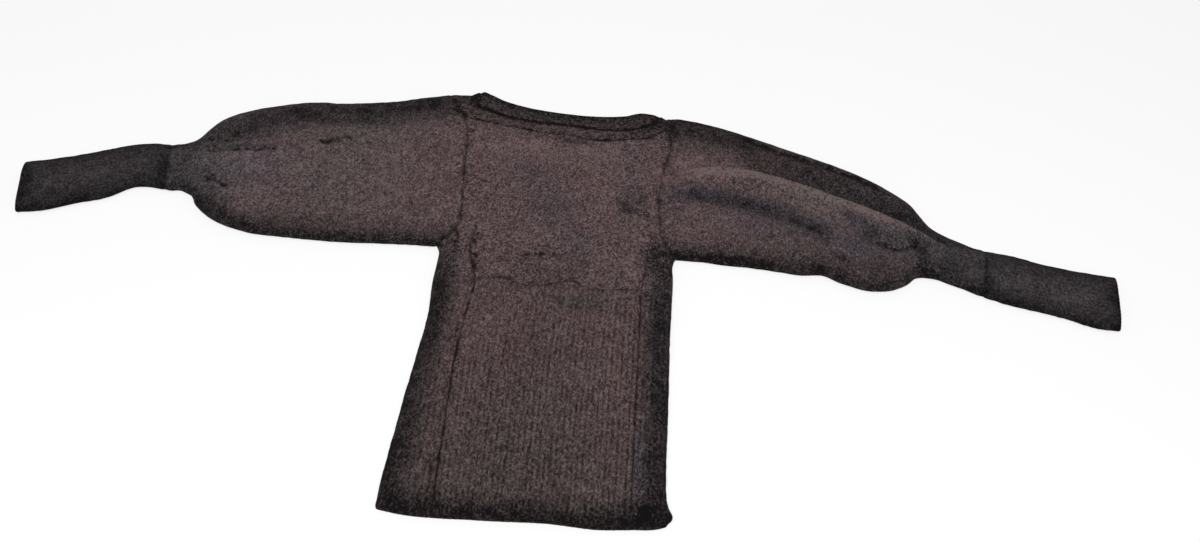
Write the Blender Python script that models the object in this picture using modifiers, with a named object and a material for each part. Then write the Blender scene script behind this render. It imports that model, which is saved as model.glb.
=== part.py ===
"""A wool sweater with full gathered sleeves, laid flat on its back with its front up.

It is felted hand knitting, 3 mm thick, sewn from nine pieces: a plain bodice and a ribbed
lower panel for the front and for the back, two sleeves, two long cuffs and a neckband.
The back panels are the wider ones: they come round the side folds, so that the side seams
lie on the front. Hem, neck, cuffs and armholes are open.

Plan sizes are in metres from the middle of the hem: +X to the wearer's left, +Y to the
neck, +Z up from the floor. The finished sweater is then set with the middle of its box on
the origin.
"""

import math
from collections import namedtuple

import bmesh
import bpy
from mathutils import Vector

# ---------------------------------------------------------------- driving sizes

WALL = 0.003  # one layer of felted wool
SEAM_GAP = 0.0003  # between two pieces at a seam
ROUND_SEAM_GAP = 0.0006  # the same where a seam goes over a rolled fold
TONGUE_GAP = 0.0006  # at the tip of the strip beside a side seam
SEAM_ROW = 0.0025  # the narrow row of faces beside a seam
MERGE = 0.00002  # points closer than this are one point
SLIVER = 0.00001  # edges shorter than this are closed up

FOLD_Z = 0.0045  # the side folds' height above the floor
ROLL = 0.030  # how far in from a fold the upper layer goes on rising
UNDER_ROLL = 0.006  # how far in from a fold the lower layer leaves the floor
ROLL_STEPS = (0.0, 0.0028, 0.0128, 0.030)  # columns of points beside a fold

HEM_DROP = 0.0025  # the front sinks towards its free hem
HEM_DROP_LENGTH = 0.025
BACK_BAND_RISE = 0.0055  # the back of the neckband stands off the floor

# Height of the upper layer over the floor, from the right cuff to the left one.
Loft = namedtuple("Loft", "x height")
LOFTS = (
    Loft(-0.80, 0.0125),
    Loft(-0.60, 0.0135),
    Loft(-0.53, 0.0195),
    Loft(-0.42, 0.0210),
    Loft(-0.20, 0.0180),
    Loft(0.00, 0.0160),
    Loft(0.20, 0.0180),
    Loft(0.36, 0.0200),
    Loft(0.46, 0.0215),
    Loft(0.54, 0.0180),
    Loft(0.61, 0.0135),
    Loft(0.80, 0.0125),
)

# Large folds: a path in plan, its height, and its width on the hem and on the neck side.
FADE = 1 / 6  # the share of its path over which a fold rises and dies away
Fold = namedtuple("Fold", "path height hem_side neck_side")
FOLDS = (
    # left sleeve: a sharp ridge from the armhole to the wrist, and the valley behind it
    Fold(((0.149, 0.548), (0.246, 0.560), (0.298, 0.550), (0.393, 0.521), (0.491, 0.482),
          (0.545, 0.450)), 0.0075, 0.040, 0.013),
    Fold(((0.200, 0.585), (0.300, 0.570), (0.400, 0.540), (0.512, 0.488)), -0.0040, 0.014, 0.035),
    # left sleeve: the soft trough below the ridge
    Fold(((0.165, 0.530), (0.248, 0.513), (0.300, 0.496), (0.376, 0.470), (0.378, 0.430)),
         -0.0030, 0.022, 0.022),
    # right sleeve: a broad ridge, and the crease that ends it above the wrist
    Fold(((-0.150, 0.600), (-0.250, 0.592), (-0.350, 0.580), (-0.440, 0.550), (-0.535, 0.530)),
         0.0040, 0.060, 0.035),
    Fold(((-0.420, 0.560), (-0.460, 0.553), (-0.528, 0.546)), -0.0035, 0.012, 0.030),
)

# ---------------------------------------------------------------- the outline in plan

# Body, from the hem up: side folds and, on the front, the side seams.
Row = namedtuple("Row", "y right_fold right_seam left_seam left_fold")
RIB_ROWS = (
    Row(0.020, -0.176, -0.108, 0.125, 0.171),
    Row(0.060, -0.174, -0.109, 0.125, 0.167),
    Row(0.120, -0.170, -0.110, 0.125, 0.167),
    Row(0.200, -0.164, -0.111, 0.125, 0.167),
    Row(0.280, -0.159, -0.107, 0.125, 0.167),
)
RIB_SEAM = Row(0.337, -0.161, -0.103, 0.125, 0.168)
WAIST_ROWS = (
    Row(0.366, -0.160, -0.111, 0.128, 0.168),
    Row(0.388, -0.161, -0.116, 0.131, 0.167),
)

# The hem dips between its two corners.
HEM = ((-0.176, -0.006), (-0.150, -0.010), (-0.050, -0.011), (0.030, -0.009),
       (0.090, -0.012), (0.130, -0.009), (0.175, 0.000))
HEM_ROW = Row(0.0, HEM[0][0], -0.108, 0.125, HEM[-1][0])

# Armhole seams, from the underarm fold to the fold of the shoulder. Point 4 is where the
# side seam ends, and from point 9 up the seam runs along the neckband.
SIDE_SEAM_END = 4
NECK_CORNER = 9
Point = namedtuple("Point", "x y")
RIGHT_ARMHOLE = (
    Point(-0.165, 0.396), Point(-0.161, 0.399), Point(-0.152, 0.406), Point(-0.142, 0.418),
    Point(-0.138, 0.450), Point(-0.141, 0.490), Point(-0.144, 0.530), Point(-0.147, 0.570),
    Point(-0.150, 0.610), Point(-0.158, 0.647), Point(-0.172, 0.669), Point(-0.181, 0.685),
    Point(-0.187, 0.694), Point(-0.189, 0.697),
)
LEFT_ARMHOLE = (
    Point(0.170, 0.401), Point(0.166, 0.405), Point(0.158, 0.414), Point(0.150, 0.428),
    Point(0.148, 0.452), Point(0.144, 0.480), Point(0.144, 0.522), Point(0.148, 0.560),
    Point(0.154, 0.605), Point(0.154, 0.655), Point(0.157, 0.665), Point(0.1595, 0.673),
    Point(0.161, 0.678), Point(0.162, 0.681),
)
# The side seams' last points, beside armhole points 0 to 3.
RIGHT_SEAM_TOP = (Point(-0.117, 0.399), Point(-0.117, 0.403), Point(-0.115, 0.412),
                  Point(-0.112, 0.426))
LEFT_SEAM_TOP = (Point(0.131, 0.403), Point(0.132, 0.407), Point(0.133, 0.416),
                 Point(0.136, 0.430))

# Sleeves and cuffs: the two folds of each section, and the ridge's distance from the
# upper fold.
Section = namedtuple("Section", "lower_x lower_y upper_x upper_y ridge")
RIGHT_SLEEVE = (
    Section(-0.199, 0.396, -0.230, 0.688, 0.092),
    Section(-0.250, 0.394, -0.270, 0.677, 0.085),
    Section(-0.300, 0.392, -0.310, 0.669, 0.082),
    Section(-0.350, 0.393, -0.350, 0.664, 0.082),
    Section(-0.395, 0.395, -0.396, 0.662, 0.092),
    Section(-0.431, 0.397, -0.447, 0.650, 0.096),
    Section(-0.471, 0.408, -0.487, 0.635, 0.088),
    Section(-0.501, 0.424, -0.513, 0.620, 0.078),
    Section(-0.521, 0.443, -0.531, 0.603, 0.065),
    Section(-0.531, 0.457, -0.543, 0.584, 0.055),
    Section(-0.546, 0.465, -0.553, 0.567, 0.050),
)
RIGHT_CUFF = (
    Section(-0.571, 0.466, -0.585, 0.555, 0.045),
    Section(-0.600, 0.469, -0.610, 0.555, 0.045),
    Section(-0.619, 0.466, -0.632, 0.552, 0.045),
    Section(-0.645, 0.447, -0.661, 0.543, 0.046),
    Section(-0.695, 0.428, -0.706, 0.525, 0.048),
    Section(-0.735, 0.411, -0.749, 0.511, 0.050),
    Section(-0.767, 0.406, -0.789, 0.501, 0.048),
)
LEFT_SLEEVE = (
    Section(0.200, 0.401, 0.199, 0.676, 0.124),
    Section(0.250, 0.398, 0.249, 0.662, 0.101),
    Section(0.300, 0.395, 0.298, 0.644, 0.093),
    Section(0.345, 0.390, 0.349, 0.624, 0.086),
    Section(0.379, 0.391, 0.399, 0.604, 0.080),
    Section(0.404, 0.379, 0.432, 0.589, 0.077),
    Section(0.437, 0.370, 0.463, 0.571, 0.071),
    Section(0.473, 0.374, 0.491, 0.552, 0.065),
    Section(0.494, 0.386, 0.511, 0.536, 0.058),
    Section(0.509, 0.399, 0.525, 0.514, 0.050),
    Section(0.530, 0.400, 0.538, 0.492, 0.046),
    Section(0.566, 0.387, 0.576, 0.469, 0.043),
)
LEFT_CUFF = (
    Section(0.596, 0.374, 0.612, 0.456, 0.041),
    Section(0.627, 0.364, 0.643, 0.452, 0.043),
    Section(0.672, 0.354, 0.686, 0.440, 0.043),
    Section(0.715, 0.342, 0.729, 0.431, 0.044),
    Section(0.748, 0.332, 0.763, 0.426, 0.045),
    Section(0.777, 0.331, 0.790, 0.423, 0.045),
)
VALLEY_BEHIND_RIDGE = 0.013

# Neck, from the wearer's right to the left: seams, and the band's free edge.
FRONT_NECK_SEAM = ((-0.158, 0.647), (-0.137, 0.641), (-0.100, 0.635), (-0.048, 0.628),
                   (0.000, 0.623), (0.060, 0.618), (0.090, 0.621), (0.129, 0.635),
                   (0.154, 0.655))
BACK_NECK_SEAM = ((-0.158, 0.647), (-0.137, 0.655), (-0.100, 0.655), (-0.050, 0.650),
                  (0.000, 0.647), (0.050, 0.646), (0.100, 0.652), (0.130, 0.659),
                  (0.154, 0.655))
FRONT_FREE_EDGE = ((-0.154, 0.702), (-0.146, 0.689), (-0.132, 0.676), (-0.108, 0.666),
                   (-0.048, 0.648), (0.000, 0.644), (0.060, 0.640), (0.090, 0.640),
                   (0.120, 0.650), (0.139, 0.664), (0.145, 0.682))
BACK_FREE_EDGE = ((-0.154, 0.702), (-0.139, 0.714), (-0.100, 0.693), (-0.069, 0.685),
                  (0.000, 0.675), (0.030, 0.674), (0.080, 0.679), (0.118, 0.689),
                  (0.145, 0.682))
SHOULDER_STEPS = (0.0, 0.012, 0.045, 0.085, 0.130)  # shares of the free edge beside a fold
BAND_ROWS = 3  # rows of faces across the neckband, besides its seam row
ARMHOLE_LEVELS = range(NECK_CORNER + 1)  # rows of the bodices from the underarm up
NECK_CURVING = 1.5  # power by which those rows take on the neck seam's curve

FRONT_COLUMNS = 6  # columns across the front, besides the seam rows
BACK_COLUMNS = 6  # columns across the back, between the rolled sides

# ---------------------------------------------------------------- materials

Finish = namedtuple("Finish", "red green blue roughness")
BODICE_WOOL = Finish(0.083, 0.057, 0.058, 0.95)
RIBBED_WOOL = Finish(0.070, 0.049, 0.049, 0.95)
CUFF_WOOL = Finish(0.033, 0.028, 0.030, 0.95)
BAND_WOOL = Finish(0.048, 0.034, 0.035, 0.95)


def wool(name, finish):
    """A plain felted wool of one colour."""
    material = bpy.data.materials.new(name)
    material.use_nodes = True
    shader = material.node_tree.nodes["Principled BSDF"]
    shader.inputs["Base Color"].default_value = (finish.red, finish.green, finish.blue, 1.0)
    shader.inputs["Roughness"].default_value = finish.roughness
    shader.inputs["Metallic"].default_value = 0.0
    return material


# ---------------------------------------------------------------- plan geometry


def between(start, end, share):
    """The point that lies this share of the way from start to end, in plan."""
    return Point(start[0] + (end[0] - start[0]) * share, start[1] + (end[1] - start[1]) * share)


def along(path, share):
    """The point at a share of a path's length."""
    lengths = [math.dist(a, b) for a, b in zip(path, path[1:])]
    left = share * sum(lengths)
    for start, end, length in zip(path, path[1:], lengths):
        if left <= length:
            return between(start, end, left / length)
        left -= length
    return Point(*path[-1])


def nearest(path, x, y):
    """Distance to a path, the share of its points passed, and the side: +1 is its left."""
    best = (math.inf, 0.0, 1.0)
    for index, (start, end) in enumerate(zip(path, path[1:])):
        run_x = end[0] - start[0]
        run_y = end[1] - start[1]
        share = ((x - start[0]) * run_x + (y - start[1]) * run_y) / (run_x**2 + run_y**2)
        share = min(max(share, 0.0), 1.0)
        gap_x = x - start[0] - share * run_x
        gap_y = y - start[1] - share * run_y
        distance = math.hypot(gap_x, gap_y)
        if distance < best[0]:
            side = 1.0 if run_x * gap_y - run_y * gap_x >= 0.0 else -1.0
            best = (distance, (index + share) / (len(path) - 1), side)
    return best


def lower_folds(sections):
    return [Point(s.lower_x, s.lower_y) for s in sections]


def upper_folds(sections):
    return [Point(s.upper_x, s.upper_y) for s in sections]


BODY_ROWS = (*RIB_ROWS, RIB_SEAM, *WAIST_ROWS)
FOLD_LINES = (
    [Point(*HEM[0])] + [Point(row.right_fold, row.y) for row in BODY_ROWS]
    + [RIGHT_ARMHOLE[0]] + lower_folds(RIGHT_SLEEVE + RIGHT_CUFF),
    [Point(*HEM[-1])] + [Point(row.left_fold, row.y) for row in BODY_ROWS]
    + [LEFT_ARMHOLE[0]] + lower_folds(LEFT_SLEEVE + LEFT_CUFF),
    [Point(*FRONT_FREE_EDGE[0]), RIGHT_ARMHOLE[-1]] + upper_folds(RIGHT_SLEEVE + RIGHT_CUFF),
    [Point(*FRONT_FREE_EDGE[-1]), LEFT_ARMHOLE[-1]] + upper_folds(LEFT_SLEEVE + LEFT_CUFF),
)


def quarter_round(distance, reach):
    """0 at a fold, rising along a quarter ellipse to 1 at its reach."""
    left = 1.0 - min(distance / reach, 1.0)
    return math.sqrt(1.0 - left**2)


def fold_distance(x, y):
    return min(nearest(line, x, y)[0] for line in FOLD_LINES)


def loft_height(x):
    for low, high in zip(LOFTS, LOFTS[1:]):
        if x <= high.x:
            share = (x - low.x) / (high.x - low.x)
            return low.height + (high.height - low.height) * share
    return LOFTS[-1].height


def fold_height(fold, x, y):
    """One fold's rise: a smooth bump across its path, fading at the path's ends."""
    distance, share, side = nearest(fold.path, x, y)
    goes_left = fold.path[-1][0] < fold.path[0][0]
    neck_side = (side > 0.0) != goes_left
    width = fold.neck_side if neck_side else fold.hem_side
    across = max(1.0 - (distance / width) ** 2, 0.0) ** 2
    return fold.height * across * min(1.0, share / FADE, (1.0 - share) / FADE)


def upper_z(x, y):
    """The upper layer's outer face."""
    crown = loft_height(x) + sum(fold_height(fold, x, y) for fold in FOLDS)
    crown -= HEM_DROP * math.exp(-max(y, 0.0) / HEM_DROP_LENGTH)
    return FOLD_Z + (crown - FOLD_Z) * quarter_round(fold_distance(x, y), ROLL)


def under_z(x, y):
    """The lower layer's outer face, flat on the floor between the folds."""
    return FOLD_Z * (1.0 - quarter_round(fold_distance(x, y), UNDER_ROLL))


def upper(point):
    return Vector((point[0], point[1], upper_z(point[0], point[1])))


def under(point):
    return Vector((point[0], point[1], under_z(point[0], point[1])))


# ---------------------------------------------------------------- making pieces


def seam_shares(width, count):
    """Shares of a width: a seam row at each end, and equal columns between."""
    edge = SEAM_ROW / width
    inner = [edge + (1.0 - 2.0 * edge) * index / count for index in range(count + 1)]
    return [0.0, *inner, 1.0]


def roll_shares(width, count):
    """Shares of a width between two folds: close beside each fold, equal between."""
    close = [step / width for step in ROLL_STEPS]
    inner = [close[-1] + (1.0 - 2.0 * close[-1]) * i / count for i in range(1, count)]
    return close + inner + [1.0 - share for share in reversed(close)]


def tube_shares(section):
    """Shares of a sleeve's width from its lower to its upper fold, one on its ridge."""
    width = math.hypot(section.upper_x - section.lower_x, section.upper_y - section.lower_y)
    ridge = width - section.ridge
    first = ROLL_STEPS[-1]
    last = width - ROLL_STEPS[-1]
    behind = min(ridge + VALLEY_BEHIND_RIDGE, (ridge + last) / 2.0)
    rising = [first + (ridge - first) * index / 4 for index in range(1, 5)]
    places = [*ROLL_STEPS, *rising, behind, (behind + last) / 2.0, last]
    places += [width - step for step in reversed(ROLL_STEPS[:-1])]
    return [place / width for place in places]


def back_off(rows, last_row, gap=SEAM_GAP):
    """Draws a patch's end row towards its neighbour by half of the seam gap."""
    edge, inner = (-1, -2) if last_row else (0, 1)
    drawn = []
    for at_seam, inside in zip(rows[edge], rows[inner]):
        step = inside - at_seam
        step.length = gap / 2.0
        drawn.append(at_seam + step)
    rows[edge] = drawn


def columns_of(rows):
    return [list(column) for column in zip(*rows)]


def surface(bm, rows, flip=False):
    """Adds a patch of quads through rows of points."""
    verts = [[bm.verts.new(point) for point in row] for row in rows]
    for low, high in zip(verts, verts[1:]):
        for index in range(len(low) - 1):
            corners = [low[index], low[index + 1], high[index + 1], high[index]]
            bm.faces.new(reversed(corners) if flip else corners)


def cloth_piece(name, patches, finish, flip=False):
    """A piece: patches joined to one outer face, which a Solidify makes a wall."""
    bm = bmesh.new()
    for rows in patches:
        surface(bm, rows, flip)
    bmesh.ops.remove_doubles(bm, verts=bm.verts, dist=MERGE)
    bmesh.ops.dissolve_degenerate(bm, edges=bm.edges, dist=SLIVER)
    mesh = bpy.data.meshes.new(name)
    bm.to_mesh(mesh)
    bm.free()
    mesh.materials.append(wool(name + "_wool", finish))
    piece = bpy.data.objects.new(name, mesh)
    wall = piece.modifiers.new("wall", "SOLIDIFY")
    wall.thickness = WALL
    wall.offset = -1.0
    return piece


# ---------------------------------------------------------------- body


def hem_y(x):
    for start, end in zip(HEM, HEM[1:]):
        if x <= end[0]:
            return start[1] + (end[1] - start[1]) * (x - start[0]) / (end[0] - start[0])
    return HEM[-1][1]


def at_height(x, row):
    """A point of a body row: the hem's row follows the hem's dip."""
    return Point(x, hem_y(x) if row is HEM_ROW else row.y)


def row_beside(seam, towards):
    """The narrow row beside a seam's own row, on the side of another row."""
    share = SEAM_ROW / abs(towards.y - seam.y)
    return Row(*(a + (b - a) * share for a, b in zip(seam, towards)))


def front_row(row):
    shares = seam_shares(row.left_seam - row.right_seam, FRONT_COLUMNS)
    places = [row.right_seam + (row.left_seam - row.right_seam) * share for share in shares]
    return [upper(at_height(x, row)) for x in places]


def strip(fold_point, seam_point):
    """Points of the back's side strip, on the front: from the fold in to the side seam."""
    width = math.dist(fold_point, seam_point)
    rolled = ROLL_STEPS[:-1]
    places = [*rolled, (rolled[-1] + width - SEAM_ROW) / 2.0, width - SEAM_ROW, width]
    return [between(fold_point, seam_point, place / width) for place in places]


def back_row(row):
    """From the left side seam, round both folds and under, to the right side seam."""
    left = strip(at_height(row.left_fold, row), at_height(row.left_seam, row))
    right = strip(at_height(row.right_fold, row), at_height(row.right_seam, row))
    shares = roll_shares(row.left_fold - row.right_fold, BACK_COLUMNS)
    below = [row.left_fold + (row.right_fold - row.left_fold) * share for share in shares]
    points = [upper(point) for point in reversed(left)]
    points[-1] = under(at_height(row.left_fold, row))
    points += [under(at_height(x, row)) for x in below[1:]]
    return points + [upper(point) for point in right[1:]]


def rib_rows():
    return [HEM_ROW, *RIB_ROWS, row_beside(RIB_SEAM, RIB_ROWS[-1]), RIB_SEAM]


def front_rib_panel():
    rows = [front_row(row) for row in rib_rows()]
    columns = columns_of(rows)
    back_off(columns, last_row=False)
    back_off(columns, last_row=True)
    rows = columns_of(columns)
    back_off(rows, last_row=True)
    return cloth_piece("front_rib_panel", [rows], RIBBED_WOOL)


def back_rib_panel():
    columns = columns_of([back_row(row) for row in rib_rows()])
    back_off(columns, last_row=False)
    back_off(columns, last_row=True)
    rows = columns_of(columns)
    back_off(rows, last_row=True)
    return cloth_piece("back_rib_panel", [rows], RIBBED_WOOL)


def waist_rows():
    return [RIB_SEAM, row_beside(RIB_SEAM, WAIST_ROWS[0]), *WAIST_ROWS]


def neck_blend(index):
    """How far an armhole-level row follows the neck seam instead of a straight line."""
    rise = (index - SIDE_SEAM_END) / (NECK_CORNER - SIDE_SEAM_END)
    return max(rise, 0.0) ** NECK_CURVING


def spanned(start, end, shares, neck_seam, blend):
    """A row from one edge to the other, drawn towards the neck seam's shape."""
    points = []
    for share in shares:
        straight = between(start, end, share)
        chord = between(neck_seam[0], neck_seam[-1], share)
        curve = along(neck_seam, share)
        points.append(Point(straight.x + (curve.x - chord.x) * blend,
                            straight.y + (curve.y - chord.y) * blend))
    return points


def front_bodice():
    rows = [front_row(row) for row in waist_rows()]
    for index in ARMHOLE_LEVELS:
        right = RIGHT_SEAM_TOP[index] if index < SIDE_SEAM_END else RIGHT_ARMHOLE[index]
        left = LEFT_SEAM_TOP[index] if index < SIDE_SEAM_END else LEFT_ARMHOLE[index]
        shares = seam_shares(left.x - right.x, FRONT_COLUMNS)
        if index == NECK_CORNER:
            rows.append(beside_neck(rows[-1], right, left, shares, FRONT_NECK_SEAM, upper))
        points = spanned(right, left, shares, FRONT_NECK_SEAM, neck_blend(index))
        rows.append([upper(point) for point in points])
    columns = columns_of(rows)
    back_off(columns, last_row=False)
    back_off(columns, last_row=True)
    rows = columns_of(columns)
    back_off(rows, last_row=False)
    back_off(rows, last_row=True)
    return cloth_piece("front_bodice", [rows], BODICE_WOOL)


def beside_neck(row_below, start, end, shares, neck_seam, lift):
    """The narrow row just below the neck seam."""
    seam = spanned(start, end, shares, neck_seam, 1.0)
    points = []
    for at_seam, below in zip(seam, row_below):
        share = SEAM_ROW / math.dist(at_seam, below[:2])
        points.append(lift(between(at_seam, below, share)))
    return points


def back_bodice():
    """The lower layer, with the two side strips that end in a point on the front."""
    strips = {"left": [], "right": []}
    below = []
    for row in waist_rows():
        right_fold = at_height(row.right_fold, row)
        left_fold = at_height(row.left_fold, row)
        shares = roll_shares(row.left_fold - row.right_fold, BACK_COLUMNS)
        below.append([under(between(left_fold, right_fold, share)) for share in shares])
        strips["left"].append(strip(left_fold, at_height(row.left_seam, row)))
        strips["right"].append(strip(right_fold, at_height(row.right_seam, row)))
    for index in ARMHOLE_LEVELS:
        right = RIGHT_ARMHOLE[index]
        left = LEFT_ARMHOLE[index]
        shares = roll_shares(left.x - right.x, BACK_COLUMNS)
        mirrored = tuple(reversed(BACK_NECK_SEAM))
        if index == NECK_CORNER:
            below.append(beside_neck(below[-1], left, right, shares, mirrored, under))
        points = spanned(left, right, shares, mirrored, neck_blend(index))
        below.append([under(point) for point in points])
        if index <= SIDE_SEAM_END:
            ends = ((left, LEFT_SEAM_TOP, "left"), (right, RIGHT_SEAM_TOP, "right"))
            for corner, seam_top, side in ends:
                strips[side].append(tongue_row(strips[side], corner, seam_top, index))
    return joined_back(below, strips)


def tongue_row(rows, corner, seam_top, index):
    """A strip's row above the underarm: it narrows to the end of the side seam."""
    if index == 0:
        return strip(corner, seam_top[0])
    if index == SIDE_SEAM_END:
        return [corner] * len(rows[-1])
    widest = rows[-index]
    width = math.dist(widest[0], widest[-1])
    shares = [math.dist(widest[0], point) / width for point in widest]
    return [between(corner, seam_top[index], share) for share in shares]


def joined_back(below, strips):
    """Lifts the strips, opens the seam gaps and joins all three patches."""
    wrapped = len(waist_rows()) + 1
    patches = []
    for side in ("left", "right"):
        rows = [[upper(point) for point in row] for row in strips[side]]
        for row, under_row in zip(rows[:wrapped], below):
            row[0] = under_row[0 if side == "left" else -1].copy()
        tip = rows[-1]
        columns = columns_of(rows[:-1])
        back_off(columns, last_row=True)
        rows = columns_of(columns)
        for row in rows[wrapped:]:
            step = (row[1] - row[0]).normalized() * (SEAM_GAP / 2.0)
            row[0] = row[0] + step
        drop = (rows[-1][2] - tip[0]).normalized() * TONGUE_GAP
        rows.append([point + drop for point in tip])
        back_off(rows, last_row=False)
        patches.append([row if side == "right" else row[::-1] for row in rows])
    for row in below[wrapped:]:
        for edge, inner in ((0, 1), (-1, -2)):
            row[edge] = row[edge] + (row[inner] - row[edge]).normalized() * (SEAM_GAP / 2.0)
    back_off(below, last_row=False)
    back_off(below, last_row=True)
    patches.append(below)
    return cloth_piece("back_bodice", patches, BODICE_WOOL)


# ---------------------------------------------------------------- sleeves and cuffs


def ring(points):
    """One section of a tube: up over the top, and back along the floor."""
    return ([under(points[0])] + [upper(point) for point in points[1:-1]]
            + [under(point) for point in reversed(points[1:])] + [under(points[0])])


def section_points(section):
    lower = Point(section.lower_x, section.lower_y)
    higher = Point(section.upper_x, section.upper_y)
    return [between(lower, higher, share) for share in tube_shares(section)]


def seam_station(at_seam, beyond):
    """The narrow row of a tube beside one of its seams."""
    return [between(a, b, SEAM_ROW / math.dist(a, b)) for a, b in zip(at_seam, beyond)]


def sleeve(name, armhole, sections, cuff, flip):
    stations = [list(armhole)] + [section_points(section) for section in sections]
    wrist = section_points(cuff[0])
    stations.insert(1, seam_station(stations[0], stations[1]))
    stations += [seam_station(wrist, stations[-1]), wrist]
    rows = [ring(station) for station in stations]
    back_off(rows, last_row=False)
    back_off(rows, last_row=True)
    return cloth_piece(name, [rows], BODICE_WOOL, flip)


def cuff(name, sections, flip):
    stations = [section_points(section) for section in sections]
    stations.insert(1, seam_station(stations[0], stations[1]))
    rows = [ring(station) for station in stations]
    back_off(rows, last_row=False, gap=ROUND_SEAM_GAP)
    return cloth_piece(name, [rows], CUFF_WOOL, flip)


# ---------------------------------------------------------------- neckband


def band_half(seam_middle, shares_middle, free_edge, lift, rise):
    """Stations of the band from the wearer's right fold to the left one."""
    near = list(SHOULDER_STEPS)
    far = [1.0 - share for share in reversed(near)]
    right = list(reversed(RIGHT_ARMHOLE[NECK_CORNER:]))
    left = list(LEFT_ARMHOLE[NECK_CORNER:])
    seam = right + [along(seam_middle, share) for share in shares_middle[1:-1]] + left
    middle = [near[-1] + (far[0] - near[-1]) * share for share in shares_middle[1:-1]]
    free = [along(free_edge, share) for share in near + middle + far]
    stations = []
    for index, (at_seam, at_edge) in enumerate(zip(seam, free)):
        width = math.dist(at_seam, at_edge)
        first = SEAM_ROW / width
        steps = [0.0] + [first + (1.0 - first) * i / BAND_ROWS for i in range(BAND_ROWS + 1)]
        standing = rise * math.sqrt(math.sin(math.pi * index / (len(seam) - 1)))
        points = [lift(between(at_seam, at_edge, step)) for step in steps]
        for point, step in zip(points, steps):
            point.z += standing * step**2
        stations.append(points)
    return stations


def neckband():
    width = LEFT_ARMHOLE[NECK_CORNER].x - RIGHT_ARMHOLE[NECK_CORNER].x
    front = band_half(FRONT_NECK_SEAM, seam_shares(width, FRONT_COLUMNS),
                      FRONT_FREE_EDGE, upper, 0.0)
    back = band_half(BACK_NECK_SEAM, roll_shares(width, BACK_COLUMNS),
                     BACK_FREE_EDGE, under, BACK_BAND_RISE)
    front[0] = [point.copy() for point in back[0]]
    front[-1] = [point.copy() for point in back[-1]]
    loop = front + back[-2:0:-1] + [[point.copy() for point in front[0]]]
    columns = columns_of(loop)
    back_off(columns, last_row=False, gap=ROUND_SEAM_GAP)
    return cloth_piece("neckband", [columns], BAND_WOOL)


# ---------------------------------------------------------------- the whole sweater


def clear_scene():
    for leftover in list(bpy.data.objects):
        bpy.data.objects.remove(leftover, do_unlink=True)


def set_on_origin(pieces, holder):
    """Moves the holder so that the middle of the pieces' box is over the origin."""
    bpy.context.view_layer.update()
    depsgraph = bpy.context.evaluated_depsgraph_get()
    corners = [Vector(corner) for piece in pieces
               for corner in piece.evaluated_get(depsgraph).bound_box]
    for axis in (0, 1):
        low = min(corner[axis] for corner in corners)
        high = max(corner[axis] for corner in corners)
        holder.location[axis] = -(low + high) / 2.0


def main():
    clear_scene()
    collection = bpy.data.collections.new("darned_wool_sweater")
    bpy.context.scene.collection.children.link(collection)
    holder = bpy.data.objects.new("sweater", None)
    collection.objects.link(holder)
    pieces = [
        front_bodice(),
        front_rib_panel(),
        back_bodice(),
        back_rib_panel(),
        sleeve("right_sleeve", RIGHT_ARMHOLE, RIGHT_SLEEVE, RIGHT_CUFF, flip=False),
        sleeve("left_sleeve", LEFT_ARMHOLE, LEFT_SLEEVE, LEFT_CUFF, flip=True),
        cuff("right_cuff", RIGHT_CUFF, flip=False),
        cuff("left_cuff", LEFT_CUFF, flip=True),
        neckband(),
    ]
    for piece in pieces:
        collection.objects.link(piece)
        piece.parent = holder
    set_on_origin(pieces, holder)


main()
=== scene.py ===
# %% [markdown]
# # A darned wool sweater, laid flat
# The real thing is a heavy, felted, hand-knitted sweater: a plain bodice, a long ribbed
# lower body, full sleeves gathered into long cuffs, and a narrow neckband. It lies on its
# back with its front up. A plain solid model of it is loaded first as a fixed frame. This
# lesson then dresses it: each piece is made again as a fine sheet of cloth in the same
# place, with its ribs, folds, creases, seams and darns, and a felted finish.

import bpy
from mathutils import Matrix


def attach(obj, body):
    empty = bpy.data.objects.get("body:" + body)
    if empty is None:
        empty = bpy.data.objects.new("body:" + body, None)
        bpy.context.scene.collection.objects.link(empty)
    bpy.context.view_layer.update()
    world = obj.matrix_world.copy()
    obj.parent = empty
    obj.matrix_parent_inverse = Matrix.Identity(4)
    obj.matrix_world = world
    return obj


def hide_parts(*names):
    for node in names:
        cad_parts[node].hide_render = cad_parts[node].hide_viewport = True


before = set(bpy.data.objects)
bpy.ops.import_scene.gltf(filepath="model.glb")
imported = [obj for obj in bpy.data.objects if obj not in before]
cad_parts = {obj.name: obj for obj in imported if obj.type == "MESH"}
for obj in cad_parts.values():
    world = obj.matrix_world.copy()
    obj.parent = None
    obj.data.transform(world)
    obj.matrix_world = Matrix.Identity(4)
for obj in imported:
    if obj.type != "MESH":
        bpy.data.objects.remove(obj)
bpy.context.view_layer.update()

# %% Tools
import math
from collections import namedtuple

import bpy
import numpy as np
from mathutils import Matrix


def deselect_all():
    bpy.ops.object.select_all(action="DESELECT")


deselect_all()

# %% [markdown]
# ## The lay of the sweater
# Everything is drawn on a plan, as a maker chalks a garment's outline on the table: metres
# from the middle of the hem, +X to the wearer's left, +Y to the neck. The plan's origin
# lies a little way from the frame's, so the finished pieces are set over by that much.

# %% The plan's place, and the cloth
SET_OVER = (-0.0005, -0.3495)
WALL = 0.003  # one layer of felted wool
SEAM_GAP = 0.0003  # between two pieces at a seam

# %% [markdown]
# The body is stated by rows from the hem up. The back is wider than the front, so each row
# has four places: the side folds and, on the front, the two side seams.

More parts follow.
